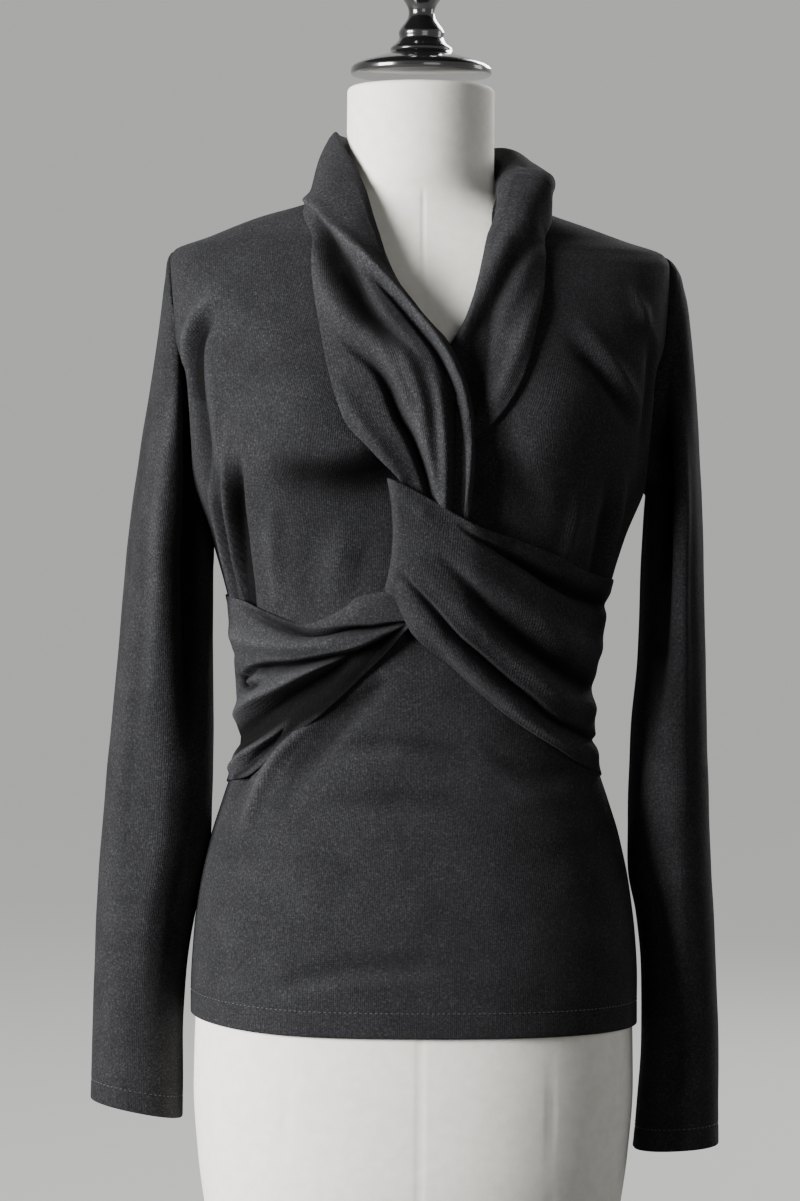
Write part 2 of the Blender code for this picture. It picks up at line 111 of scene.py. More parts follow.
def onBody(turn, height, lift):  # that far off the body, straight out from it
    turn, height, lift = np.broadcast_arrays(*(np.asarray(v, float) for v in (turn, height, lift)))
    step = 0.5
    roundIt = skin(turn + step, height) - skin(turn - step, height)
    upIt = skin(turn, height + step) - skin(turn, height - step)
    out = np.cross(roundIt, upIt)
    out /= np.linalg.norm(out, axis=-1, keepdims=True)
    return skin(turn, height) + out * lift[..., None]


def turnAt(x, height):
    half, front = bodyColumn("halfWidth", height), bodyColumn("front", height)
    square = bodyColumn("squareness", height)
    across = np.minimum(np.abs(x) / half, math.sin(math.radians(89.6)))
    return np.degrees(np.arctan2(np.sign(x) * across * half, front * (1 - across**square) ** (1 / square)))


def armholeTurn(height, depth):
    rise = np.clip(np.abs(height - armhole["height"]) / armhole["halfHeight"], 0, 1)
    y = depth * np.sqrt(1 - rise**2)
    half, square = bodyColumn("halfWidth", height), bodyColumn("squareness", height)
    behind = bodyColumn("front" if depth == armhole["front"] else "back", height)
    x = half * (1 - (y / behind) ** square) ** (1 / square)
    return np.degrees(np.arctan2(y, x))


# A tape laid level round the body: millimetres from the centre front, positive to the wearer's left
tapeMake = {"low": 100.0, "high": 1011.0, "heightStep": 5.0, "turnStep": 2.0}
tapeHeights = np.arange(tapeMake["low"], tapeMake["high"], tapeMake["heightStep"])
tapeTurns = np.arange(-180.0, 181.0, tapeMake["turnStep"])
tapePoints = skin(tapeTurns[None, :], tapeHeights[:, None])
tapeSteps = np.linalg.norm(np.diff(tapePoints, axis=1), axis=-1)
tapeTable = np.concatenate([np.zeros((len(tapeHeights), 1)), np.cumsum(tapeSteps, axis=1)], axis=1)
tapeTable -= tapeTable[:, [len(tapeTurns) // 2]]
centreBack = 179.9  # just short of where the tape's ends meet


def tape(turn, height):
    turn = (np.asarray(turn, float) + 180) % 360
    row = (np.asarray(height, float) - tapeMake["low"]) / tapeMake["heightStep"]
    row = np.clip(row, 0, len(tapeHeights) - 1.001)
    column = np.clip(turn / tapeMake["turnStep"], 0, len(tapeTurns) - 1.001)
    row, column = np.broadcast_arrays(row, column)
    i, j = row.astype(int), column.astype(int)
    a, b = row - i, column - j
    low = tapeTable[i, j] * (1 - b) + tapeTable[i, j + 1] * b
    high = tapeTable[i + 1, j] * (1 - b) + tapeTable[i + 1, j + 1] * b
    return low * (1 - a) + high * a


def throughStations(points, count, axis=1):  # a smooth curve through the stations, evenly redivided
    points = np.moveaxis(points, axis, 0)
    gaps = np.linalg.norm(np.diff(points[..., :3], axis=0), axis=-1)
    gaps = gaps.mean(axis=tuple(range(1, points.ndim - 1)))
    place = np.concatenate([[0], np.cumsum(gaps)])
    at = np.linspace(0, place[-1], count)
    i = np.clip(np.searchsorted(place, at, side="right") - 1, 0, len(place) - 2)
    spread = [1] * (points.ndim - 1)
    slopes = np.empty_like(points)
    slopes[1:-1] = (points[2:] - points[:-2]) / (place[2:] - place[:-2]).reshape(-1, *spread)
    slopes[0], slopes[-1] = (points[1] - points[0]) / gaps[0], (points[-1] - points[-2]) / gaps[-1]
    t, width = ((at - place[i]) / gaps[i]).reshape(-1, *spread), gaps[i].reshape(-1, *spread)
    made = cubic(t, points[i], points[i + 1], slopes[i] * width, slopes[i + 1] * width)
    return np.moveaxis(made, 0, axis)


# A fold is a path of (across, height), its half widths and depths from end to end, and its lean:
# at 1 the side to the left of the path falls off at once, at -1 the side to the right does
def foldRelief(across, height, folds):
    relief = np.zeros(np.broadcast(across, height).shape)
    for path, widths, depths, lean in folds:
        path = throughStations(np.array(path, float)[:, None, :], 4 * len(path), axis=0)[:, 0, :]
        runs = np.linalg.norm(np.diff(path, axis=0), axis=1)
        before = np.concatenate([[0], np.cumsum(runs)])
        nearest = np.full(relief.shape, 1e9)
        share, side = np.zeros(relief.shape), np.zeros(relief.shape)
        for k, (start, end) in enumerate(zip(path, path[1:])):
            way = end - start
            toX, toY = across - start[0], height - start[1]
            t = np.clip((toX * way[0] + toY * way[1]) / (way @ way), 0, 1)
            apart = np.hypot(toX - t * way[0], toY - t * way[1])
            nearer = apart < nearest
            nearest = np.where(nearer, apart, nearest)
            share = np.where(nearer, (before[k] + t * runs[k]) / before[-1], share)
            side = np.where(nearer, np.sign(way[0] * toY - way[1] * toX), side)
        width = np.interp(share, np.linspace(0, 1, len(widths)), widths)
        depth = np.interp(share, np.linspace(0, 1, len(depths)), depths)
        width = width * np.clip(1 - lean * side, 0.12, 1.6)
        relief += depth * np.exp(-((nearest / width) ** 2))
    return relief


def outwards(points, wrap=False):
    padded = np.concatenate([points[:, -2:-1], points, points[:, 1:2]], axis=1) if wrap else points
    out = np.cross(np.gradient(padded, axis=1), np.gradient(padded, axis=0))
    out = out[:, 1:-1] if wrap else out
    out /= np.maximum(np.linalg.norm(out, axis=-1, keepdims=True), 1e-9)
    middle = points.reshape(-1, 3).mean(axis=0) if wrap else 0.0
    level = (points - middle) * [1, 1, 0]
    return out * (1 if (out * level).sum() > 0 else -1)


def bottomOut(relief, floor, tightness=1.2):  # a fold sinks no further than what lies under it
    return floor + np.logaddexp(0, (relief - floor) * tightness) / tightness


def clearOfForm(relief, heights):
    return bottomOut(relief, cloth["clear"] - bodyColumn("formInset", heights), cloth["tightness"])


def turnUnder(points, out, depth, fold):  # the last row turns in, and the cloth runs back inside it
    down = points[-1] - points[-2]
    step = np.linalg.norm(down, axis=-1).mean()
    down = down / np.linalg.norm(down, axis=-1, keepdims=True)
    lip = [points[-1] + fold * (down * reach - out[-1] * into)
           for reach, into in ((0.30, 0.08), (0.5, 0.3), (0.5, 0.7), (0.30, 0.92))]
    rows = max(2, int(round(depth / step)))
    inside = points[-1:-1 - rows:-1] - out[-1:-1 - rows:-1] * fold
    return np.concatenate([points, np.stack(lip), inside])


def placePiece(name, bm):
    mesh = bpy.data.meshes.new(name)
    bm.to_mesh(mesh)
    bm.free()
    mesh.shade_smooth()
    piece = bpy.data.objects.new(name, mesh)
    bpy.context.scene.collection.objects.link(piece)
    return piece


def laidGrid(points, wide, long, depths=None):  # the map is in metres, and depths are kept for the painted shade in the folds and painted highlight on the crests
    rows, columns = points.shape[:2]
    bm = bmesh.new()
    uvLayer = bm.loops.layers.uv.new("UVMap")
    foldLayer = None if depths is None else bm.verts.layers.float.new("fold")
    bmesh.ops.create_grid(bm, x_segments=columns - 1, y_segments=rows - 1, size=0.5)
    places = np.array([vert.co for vert in bm.verts])
    column = np.rint((places[:, 0] + 0.5) * (columns - 1)).astype(int)
    row = np.rint((places[:, 1] + 0.5) * (rows - 1)).astype(int)
    for vert, place in zip(bm.verts, points[row, column] * mm):
        vert.co = place
    if foldLayer:
        for vert, depth in zip(bm.verts, depths[row, column]):
            vert[foldLayer] = depth
    for face in bm.faces:
        for loop in face.loops:
            k = loop.vert.index
            loop[uvLayer].uv = (column[k] / (columns - 1) * wide * mm, row[k] / (rows - 1) * long * mm)
    return bm


def rowLengths(points):
    return np.linalg.norm(np.diff(points, axis=1), axis=-1).sum(axis=1)


def clothPiece(name, points, depths, wrap=False):
    depths = np.pad(depths, ((0, len(points) - len(depths)), (0, 0)), "edge")
    wide = rowLengths(points).mean()
    long = np.linalg.norm(np.diff(points, axis=0), axis=-1).sum(axis=0).mean()
    bm = laidGrid(points, wide, long, depths)
    if wrap:
        bmesh.ops.remove_doubles(bm, verts=bm.verts, dist=1e-6)
    bm.normal_update()
    centre = Vector(points.reshape(-1, 3).mean(axis=0) * mm) if wrap else Vector((0, 0, 0))
    facing = 0.0
    for face in bm.faces:
        away = face.calc_center_median() - centre
        facing += face.calc_area() * (face.normal.x * away.x + face.normal.y * away.y)
    if facing < 0:
        bmesh.ops.reverse_faces(bm, faces=bm.faces)
    piece = placePiece(name, bm)
    solid = piece.modifiers.new("wall", "SOLIDIFY")
    solid.thickness = cloth["wall"] * mm
    solid.offset = -1
    solid.use_even_offset = False
    print("cloth", name, len(piece.data.polygons), "faces, about", round(wide), "by", round(long), "mm")
    return piece


def finishPiece(piece, material, slot, *nodes):
    piece.data.materials.append(material)
    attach(piece, "root")
    if nodes:
        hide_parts(*nodes)
    return piece


def colour(code):  # an sRGB hex value as linear light
    channels = [int(code[i:i + 2], 16) / 255 for i in (1, 3, 5)]
    return (*[c / 12.92 if c <= 0.04045 else ((c + 0.055) / 1.055) ** 2.4 for c in channels], 1.0)


def addNode(material, kind, inputs, **settings):
    node = material.node_tree.nodes.new("ShaderNode" + kind)
    for name, value in settings.items():
        setattr(node, name, value)
    for name, value in inputs.items():
        if isinstance(value, bpy.types.NodeSocket):
            material.node_tree.links.new(value, node.inputs[name])
        else:
            node.inputs[name].default_value = value
    return node


def bandScale(spacing):  # of a sine wave texture whose bands lie that many millimetres apart
    return math.pi / (10 * spacing * mm)


def grainScale(size):  # of a noise texture with grains of that many millimetres
    return 1 / (size * mm)


def joinShader(material, shader, sockets):
    for name, socket in sockets.items():
        material.node_tree.links.new(socket, shader.inputs[name])
    return material


def newMaterial(name, shaderInputs):
    material = bpy.data.materials.new(name)
    material.use_nodes = True
    shader = material.node_tree.nodes["Principled BSDF"]
    for name, value in shaderInputs.items():
        shader.inputs[name].default_value = value
    return material, shader


jerseyLook = {  # sizes in millimetres; a fold as deep as deepest gets the darkest share of the tone as painted shade, and a crest as high as highest gets the lightest share as a painted highlight
    "dark": "#1e1e1f", "light": "#363638", "fibre": "#4b4b4e", "wale": 1.5, "course": 1.2, "heather": 1.5,
    "mottle": 26.0, "deepest": -8.0, "highest": 7.0, "paintedShadeInFolds": 0.12, "paintedHighlightOnCrests": 1.45,
}


# Lightly milled merino single jersey: the brushed fibres hide most of the knit, give a soft
# edge glow and a heathered charcoal instead of a flat black
def jerseyMaterial():
    look = jerseyLook
    material, shader = newMaterial("milledMerinoJersey", {
        "Roughness": 0.92, "Specular IOR Level": 0.05, "IOR": 1.54,
        "Sheen Weight": 0.04, "Sheen Roughness": 0.4, "Sheen Tint": colour("#d2d2d4")})
    place = addNode(material, "TexCoord", {})
    # wales 0.9 mm apart in the real cloth are drawn 1.5 mm apart, so that they show
    wales = addNode(material, "TexWave", {
        "Vector": place.outputs["UV"], "Scale": bandScale(look["wale"]),
        "Distortion": 1.2, "Detail": 1.0, "Detail Scale": 1.0}, bands_direction="X", wave_profile="SIN")
    courses = addNode(material, "TexWave", {
        "Vector": place.outputs["UV"], "Scale": bandScale(look["course"]),
        "Distortion": 1.6, "Detail": 1.0, "Detail Scale": 1.0}, bands_direction="Y", wave_profile="SIN")
    heather = addNode(material, "TexNoise", {
        "Vector": place.outputs["Object"], "Scale": grainScale(look["heather"]),
        "Detail": 4.0, "Roughness": 0.65})
    mottle = addNode(material, "TexNoise", {
        "Vector": place.outputs["Object"], "Scale": grainScale(look["mottle"]),
        "Detail": 3.0, "Roughness": 0.55})
    knit = addNode(material, "Math", {0: wales.outputs["Fac"], 1: courses.outputs["Fac"]},
                   operation="MULTIPLY")
    tone = addNode(material, "MapRange", {
        "Value": heather.outputs["Fac"], "From Min": 0.3, "From Max": 0.7})
    base = addNode(material, "Mix", {0: tone.outputs[0], 6: colour(look["dark"]), 7: colour(look["light"])},
                   data_type="RGBA")
    fleck = addNode(material, "MapRange", {
        "Value": heather.outputs["Fac"], "From Min": 0.56, "From Max": 0.86})
    flecked = addNode(material, "Mix", {0: fleck.outputs[0], 6: base.outputs[2], 7: colour(look["fibre"])},
                      data_type="RGBA")
    wear = addNode(material, "MapRange", {
        "Value": mottle.outputs["Fac"], "From Min": 0.3, "From Max": 0.7, "To Min": 0.84, "To Max": 1.12})
    # painted shade darkens the colour in the folds and a painted highlight lightens it along the crests, by
    # each fold's depth; the mottle beside it is real wear
    folds = addNode(material, "Attribute", {}, attribute_name="fold")
    paintedFoldShade = addNode(material, "MapRange", {
        "Value": folds.outputs["Fac"], "From Min": look["deepest"], "From Max": look["highest"],
        "To Min": look["paintedShadeInFolds"], "To Max": look["paintedHighlightOnCrests"]})
    wearAndPaintedShade = addNode(material, "Math", {0: wear.outputs[0], 1: paintedFoldShade.outputs[0]}, operation="MULTIPLY")
    wornAndPaintedShade = addNode(material, "HueSaturation", {"Color": flecked.outputs[2], "Value": wearAndPaintedShade.outputs[0]})
    fuzz = addNode(material, "Math", {0: knit.outputs[0], 1: 0.45, 2: heather.outputs["Fac"]},
                   operation="MULTIPLY_ADD")
    bump = addNode(material, "Bump", {"Height": fuzz.outputs[0], "Strength": 0.9, "Distance": 0.5 * mm})
    return joinShader(material, shader, {"Base Color": wornAndPaintedShade.outputs[0], "Normal": bump.outputs[0]})


canvasLook = {"warp": "#f3f0e9", "weft": "#ebe7dd", "aged": "#ded6c4", "thread": 1.3, "slub": 9.0,
              "ageing": 180.0}


# Bleached cotton canvas stretched over moulded paper: a tight plain weave, a little slub and
# a faint yellowing that keep it from looking like plaster
def canvasMaterial():
    look = canvasLook
    material, shader = newMaterial("stretchedCottonCanvas", {
        "Roughness": 0.78, "Specular IOR Level": 0.3, "IOR": 1.5,
        "Sheen Weight": 0.06, "Sheen Roughness": 0.4, "Sheen Tint": colour("#ffffff")})
    place = addNode(material, "TexCoord", {})
    # threads 0.5 mm apart are drawn 1.3 mm apart, so that they show
    warp, weft = (addNode(material, "TexWave", {
        "Vector": place.outputs["UV"], "Scale": bandScale(look["thread"]),
        "Distortion": 0.6, "Detail": 1.0, "Detail Scale": 1.0}, bands_direction=way) for way in "XY")
    slub = addNode(material, "TexNoise", {
        "Vector": place.outputs["Object"], "Scale": grainScale(look["slub"]),
        "Detail": 5.0, "Roughness": 0.6})
    ageing = addNode(material, "TexNoise", {
        "Vector": place.outputs["Object"], "Scale": grainScale(look["ageing"]),
        "Detail": 2.0, "Roughness": 0.5})
    weave = addNode(material, "Math", {0: warp.outputs["Fac"], 1: weft.outputs["Fac"]}, operation="MAXIMUM")
    slubbed = addNode(material, "MapRange", {
        "Value": slub.outputs["Fac"], "From Min": 0.35, "From Max": 0.65})
    base = addNode(material, "Mix", {0: slubbed.outputs[0], 6: colour(look["weft"]), 7: colour(look["warp"])},
                   data_type="RGBA")
    yellowing = addNode(material, "MapRange", {
        "Value": ageing.outputs["Fac"], "From Min": 0.45, "From Max": 0.75, "To Max": 0.2})
    aged = addNode(material, "Mix", {0: yellowing.outputs[0], 6: base.outputs[2], 7: colour(look["aged"])},
                   data_type="RGBA")
    height = addNode(material, "Math", {0: slub.outputs["Fac"], 1: 0.6, 2: weave.outputs[0]},
                     operation="MULTIPLY_ADD")
    bump = addNode(material, "Bump", {"Height": height.outputs[0], "Strength": 0.16, "Distance": 0.25 * mm})
    return joinShader(material, shader, {"Base Color": aged.outputs[2], "Normal": bump.outputs[0]})


lacquerLook = {"colour": "#0b0b0c", "rings": 1.4, "haze": 14.0}


# Turned beech under black piano lacquer: deep gloss over the faintest lathe rings
def lacquerMaterial():
    look = lacquerLook
    material, shader = newMaterial("blackLacqueredBeech", {
        "Base Color": colour(look["colour"]), "IOR": 1.5,
        "Coat Weight": 1.0, "Coat Roughness": 0.05, "Coat IOR": 1.5})
    place = addNode(material, "TexCoord", {})
    rings = addNode(material, "TexWave", {
        "Vector": place.outputs["Object"], "Scale": bandScale(look["rings"]),
        "Distortion": 0.4, "Detail": 1.0}, bands_direction="Z")
    haze = addNode(material, "TexNoise", {
        "Vector": place.outputs["Object"], "Scale": grainScale(look["haze"]), "Detail": 4.0})
    rough = addNode(material, "MapRange", {"Value": haze.outputs["Fac"], "To Min": 0.12, "To Max": 0.3})
    bump = addNode(material, "Bump", {
        "Height": rings.outputs["Fac"], "Strength": 0.05, "Distance": 0.05 * mm})
    return joinShader(material, shader, {"Roughness": rough.outputs[0], "Normal": bump.outputs[0]})


steelLook = {"colour": "#141416", "peel": 1.4, "scuff": 40.0}


# Steel under black powder coat: a fine orange peel that breaks up the highlights
def steelMaterial():
    look = steelLook
    material, shader = newMaterial("powderCoatedSteel", {
        "Base Color": colour(look["colour"]), "IOR": 1.5, "Specular IOR Level": 0.5})
    place = addNode(material, "TexCoord", {})
    peel = addNode(material, "TexNoise", {
        "Vector": place.outputs["Object"], "Scale": grainScale(look["peel"]), "Detail": 3.0})
    scuff = addNode(material, "TexNoise", {
        "Vector": place.outputs["Object"], "Scale": grainScale(look["scuff"]), "Detail": 6.0})
    rough = addNode(material, "MapRange", {
        "Value": scuff.outputs["Fac"], "From Min": 0.3, "From Max": 0.7, "To Min": 0.34, "To Max": 0.52})
    bump = addNode(material, "Bump", {"Height": peel.outputs["Fac"], "Strength": 0.25, "Distance": 0.12 * mm})
    return joinShader(material, shader, {"Roughness": rough.outputs[0], "Normal": bump.outputs[0]})


threadLook = {"dark": "#1f1f21", "light": "#3d3d40", "twist": 0.6}


# Twisted polyester sewing thread: tight and slightly lustrous on the matt cloth
def threadMaterial():
    look = threadLook
    material, shader = newMaterial("spunPolyesterThread", {
        "Roughness": 0.55, "Specular IOR Level": 0.4, "IOR": 1.57, "Sheen Weight": 0.1})
    place = addNode(material, "TexCoord", {})
    twist = addNode(material, "TexNoise", {
        "Vector": place.outputs["Object"], "Scale": grainScale(look["twist"]), "Detail": 2.0})
    base = addNode(material, "Mix", {
        0: twist.outputs["Fac"], 6: colour(look["dark"]), 7: colour(look["light"])}, data_type="RGBA")
    bump = addNode(material, "Bump", {"Height": twist.outputs["Fac"], "Strength": 0.4, "Distance": 0.1 * mm})
    return joinShader(material, shader, {"Base Color": base.outputs[2], "Normal": bump.outputs[0]})


jersey, canvas, thread = jerseyMaterial(), canvasMaterial(), threadMaterial()
lacquer, steel = lacquerMaterial(), steelMaterial()
print("materials made")

stitchMake = {"pitch": 3.6, "long": 2.5, "wide": 0.62, "proud": 0.12, "below": 0.5, "sides": 6}


def acrossAt(grid, values, level):  # where each column of the grid reaches that level
    line = []
    for k in range(grid.shape[1]):
        order = np.argsort(values[:, k])
        line.append([np.interp(level[k], values[order, k], grid[order, k, axis]) for axis in range(3)])
    return np.array(line)


def stitchPiece(name, line, out):
    make = stitchMake
    run = np.concatenate([[0], np.cumsum(np.linalg.norm(np.diff(line, axis=0), axis=1))])
    bm = bmesh.new()
    for at in np.arange(make["pitch"], run[-1] - make["pitch"] / 2, make["pitch"]):
        middle, ahead, up = (Vector([np.interp(where, run, field[:, axis]) for axis in range(3)])
                             for where, field in ((at, line), (at + 1, line), (at, out)))
        way = (ahead - middle).normalized()
        up.normalize()
        size = Vector((make["long"] / 2, make["wide"] / 2, make["wide"] / 2)) * mm
        turned = Matrix((way, up.cross(way), up)).transposed().to_4x4()
        place = Matrix.Translation((middle + up * make["proud"]) * mm) @ turned @ Matrix.Diagonal((*size, 1))
        bmesh.ops.create_uvsphere(bm, u_segments=make["sides"], v_segments=make["sides"], radius=1.0,
                                  matrix=place)
    bmesh.ops.recalc_face_normals(bm, faces=bm.faces)
    return finishPiece(placePiece(name, bm), thread, "jersey")


def hemmedPiece(name, stitchName, points, out, folded, along, level, depth, wrap=False):
    stitches = stitchPiece(stitchName, acrossAt(points, along, level), acrossAt(out, along, level))
    points = turnUnder(points, out, depth, panelCut["fold"])
    return clothPiece(name, points, folded, wrap), stitches


panelCut = {"middleSeam": 616.0, "sideSeam": 565.0, "hem": 324.0, "hemRiseRight": 8.0, "hemRiseLeft": 2.0,
            "hemDepth": 16.0, "fold": 2.35, "neckTop": 917.0, "neckEdge": 911.0, "sideGap": 0.03,
            "calmEdge": 9.0, "sinkEdge": 14.0}
neckline = {"height": [616, 750, 770, 800, 830, 860, 890, 911], "x": [0.3, 0.3, 10, 24, 37, 48, 57, 62]}

lowerFrontFolds = [
    ([(-72, 545), (-86, 534), (-98, 523), (-110, 509), (-119, 494), (-128, 476), (-136, 456)],
     (3, 4.4, 5.4, 6), (0, 4.8, 6.6, 6.6, 4.6, 0), 0.2),
    ([(-30, 566), (-56, 544), (-74, 524), (-88, 508), (-98, 490), (-104, 474)],
     (6, 8, 9, 8), (-3, -6, -6.4, -5, -2.4, 0), 0),
    ([(-126, 516), (-138, 503), (-152, 488)], (4, 5, 5), (0, -4.0, -2.0), 0),
    ([(-70, 523), (-29, 528), (6, 526), (45, 520)], (6, 7, 6), (0, -2.2, -2.0, 0), 0.3),
    ([(-66, 514), (-20, 518), (30, 513)], (6, 7, 6), (0, 1.7, 0), 0),
    ([(-60, 484), (-15, 489), (27, 487), (60, 480)], (7, 8, 7), (0, -2.2, -1.8, 0), 0.2),
    ([(-90, 470), (-30, 477), (40, 472)], (7, 9, 7), (0, 1.6, 0), 0),
    ([(-110, 356), (-63, 369), (-15, 374), (45, 376)], (6, 7, 8), (0, -2.6, -2.2, 0), -0.2),
    ([(-118, 346), (-63, 358), (-10, 363), (60, 361)], (6, 7, 7), (0, 2.0, 1.5, 0), 0),
    ([(40, 528), (70, 512), (98, 506), (125, 512)], (5, 6, 5), (0, -2.0, -1.6, 0), 0.2),
    ([(52, 500), (88, 490), (118, 494), (145, 506)], (6, 7, 6), (0, 1.6, 1.4, 0), 0),
    ([(95, 452), (130, 462), (165, 478)], (6, 8, 6), (0, -1.6, -1.0), 0),
    ([(-175, 452), (-140, 446), (-112, 452)], (6, 7, 5), (-0.8, -1.5, 0), 0),
    ([(100, 398), (135, 392), (180, 398)], (8, 9, 7), (0, 1.2, 0.5), 0),
]
bodiceRightFolds = [
    ([(-138, 843), (-154, 836), (-168, 825), (-180, 811), (-189, 796)],
     (4.5, 5, 5), (0, 4.2, 5.6, 5.4, 3), 0.2),
    ([(-150, 826), (-162, 818), (-172, 805), (-179, 788), (-183, 772)],
     (4, 5, 6, 6), (0, -7, -11, -13, -9), 0),
    ([(-172, 800), (-176, 780), (-178, 758), (-177, 736), (-172, 712)], (5, 8, 8), (-2, -5, -6, -6, -3), 0),
    ([(-160, 800), (-160, 774), (-160, 745), (-159, 722)], (5, 5, 5), (0, 2.4, 3.2, 2.0), 0),
    ([(-148, 752), (-151, 726), (-152, 696), (-150, 660), (-145, 620), (-142, 590)],
     (2.8, 3.0, 3.4, 3.4), (0, 3.0, 5.4, 6.2, 4.6, 2), 0.25),
    ([(-139, 728), (-141, 708), (-142, 685), (-141, 660), (-139, 636), (-137, 612)],
     (4, 6.5, 8, 8, 7), (0, -9, -16, -18, -18, -14), 0.1),
    ([(-170, 740), (-170, 700), (-165, 660), (-159, 620)], (2.6, 3.2, 3), (0, 3.8, 3.8, 2.0), 0),
    ([(-161, 722), (-161, 686), (-157, 648), (-152, 615)], (2.4, 3.2, 3.2), (0, -4.8, -5.4, -3.0), 0),
    ([(-108, 704), (-109, 664), (-106, 628)], (5, 7, 5), (0, 2.8, 1.8), 0),
    ([(-2, 722), (-30, 714), (-58, 711), (-84, 712), (-112, 717)],
     (13, 14, 14, 11), (-10.0, -9.4, -8.0, -6.0, 0), -0.1),
    ([(-16, 742), (-48, 731), (-80, 729)], (9, 10, 9), (1.0, 2.4, 0), 0),
    ([(-52, 688), (-60, 656), (-64, 628)], (7, 8, 7), (0, 1.6, 0.9), 0),
    ([(-74, 684), (-80, 652), (-82, 624)], (8, 9, 8), (0, -1.6, -0.9), 0),
    ([(-36, 676), (-42, 652), (-46, 634)], (6, 7, 6), (0, -1.1, -0.5), 0),
    ([(-96, 800), (-120, 786), (-146, 778)], (9, 10, 9), (0, -0.9, 0), 0),
]
bodiceLeftFolds = [
    ([(104, 826), (120, 812), (136, 796), (155, 777), (172, 762)], (6, 7, 8), (0, 2.6, 3.4, 3.2, 1), 0.2),
    ([(98, 812), (116, 798), (134, 780), (152, 762), (168, 750)], (5, 7, 7), (0, -3.8, -4.8, -4.2, -1), 0),
    ([(150, 852), (162, 832), (178, 812)], (4, 6, 6), (0, 3.4, 2.0), 0),
    ([(170, 826), (178, 800), (182, 770), (178, 730)], (6, 8, 8), (-1, -4, -4, -1), 0),
    ([(158, 722), (156, 690), (151, 655)], (4, 5, 5), (0, 4.0, 3.2), 0),
    ([(138, 720), (139, 686), (134, 650)], (6, 8, 7), (0, -4.8, -3.4), 0),
    ([(112, 712), (110, 684), (104, 656)], (5, 7, 6), (0, 2.8, 1.8), 0),
    ([(56, 744), (64, 716), (78, 690), (84, 672)], (9, 11, 9), (-2, -3.6, -2, 0), 0),
]
backFolds = [  # millimetres from the centre back, positive to the wearer's left
    ([(-165, 566), (-120, 572), (-70, 562), (-20, 560), (30, 566)], (4.5, 6, 6), (-3.5, -4.6, -3.4, 0), 0.3),
    ([(-165, 548), (-110, 553), (-50, 543), (0, 540)], (4.5, 6, 6), (2.4, 3.0, 0), 0),
    ([(165, 584), (118, 590), (66, 578), (10, 580)], (4.5, 6, 5), (-3.5, -4.4, -2.6, 0), 0.2),
    ([(165, 566), (120, 569), (74, 562)], (5, 6, 5), (2.2, 2.4, 0), 0),
    ([(165, 545), (120, 534), (66, 538), (14, 527)], (5, 6.5, 6), (-3.5, -4.2, -2.8, 0), -0.2),
    ([(160, 526), (105, 517), (50, 521)], (5, 6, 5), (2.0, 2.4, 0), 0),
    ([(-165, 520), (-110, 511), (-50, 517), (0, 508)], (5, 6.5, 6), (-3.0, -3.6, -2.2, 0), 0),
    ([(-165, 612), (-118, 622), (-72, 616)], (5, 6, 5), (-3.0, -3.0, 0), 0.2),
    ([(165, 622), (118, 634), (76, 628)], (5, 6, 5), (-3.0, -2.8, 0), 0),
    ([(-120, 640), (-86, 650), (-50, 645)], (6, 7, 6), (0, -1.8, 0), 0),
    ([(-60, 840), (-88, 800), (-118, 760), (-146, 716)], (7, 8, 8), (0, -3.0, -3.8, -2.0), 0),
    ([(-78, 842), (-108, 804), (-135, 770)], (6, 7, 7), (0, 2.6, 1.8), 0),
    ([(-132, 842), (-146, 800), (-150, 756)], (6, 7, 7), (0, -2.4, -1.6), 0),
    ([(64, 846), (92, 806), (120, 768), (146, 722)], (7, 8, 8), (0, -2.8, -3.6, -2.0), 0),
    ([(84, 850), (112, 812), (138, 774)], (6, 7, 7), (0, 2.4, 1.6), 0),
    ([(136, 836), (149, 792), (152, 750)], (6, 7, 7), (0, -2.2, -1.6), 0),
    ([(-34, 880), (-6, 874), (30, 879)], (6, 8, 6), (0, -1.8, 0), 0),
    ([(-10, 700), (-6, 650), (-9, 600)], (9, 11, 9), (0, -1.8, 0), 0),
    ([(-70, 452), (-20, 446), (38, 450)], (7, 7, 7), (0, -1.9, 0), 0),
    ([(-58, 440), (-8, 434), (44, 438)], (7, 7, 7), (0, 1.5, 0), 0),
    ([(30, 402), (80, 396), (128, 404)], (7, 7, 7), (0, -1.6, 0), 0),
    ([(-128, 388), (-84, 394), (-44, 388)], (7, 7, 7), (0, -1.6, 0), 0),
]


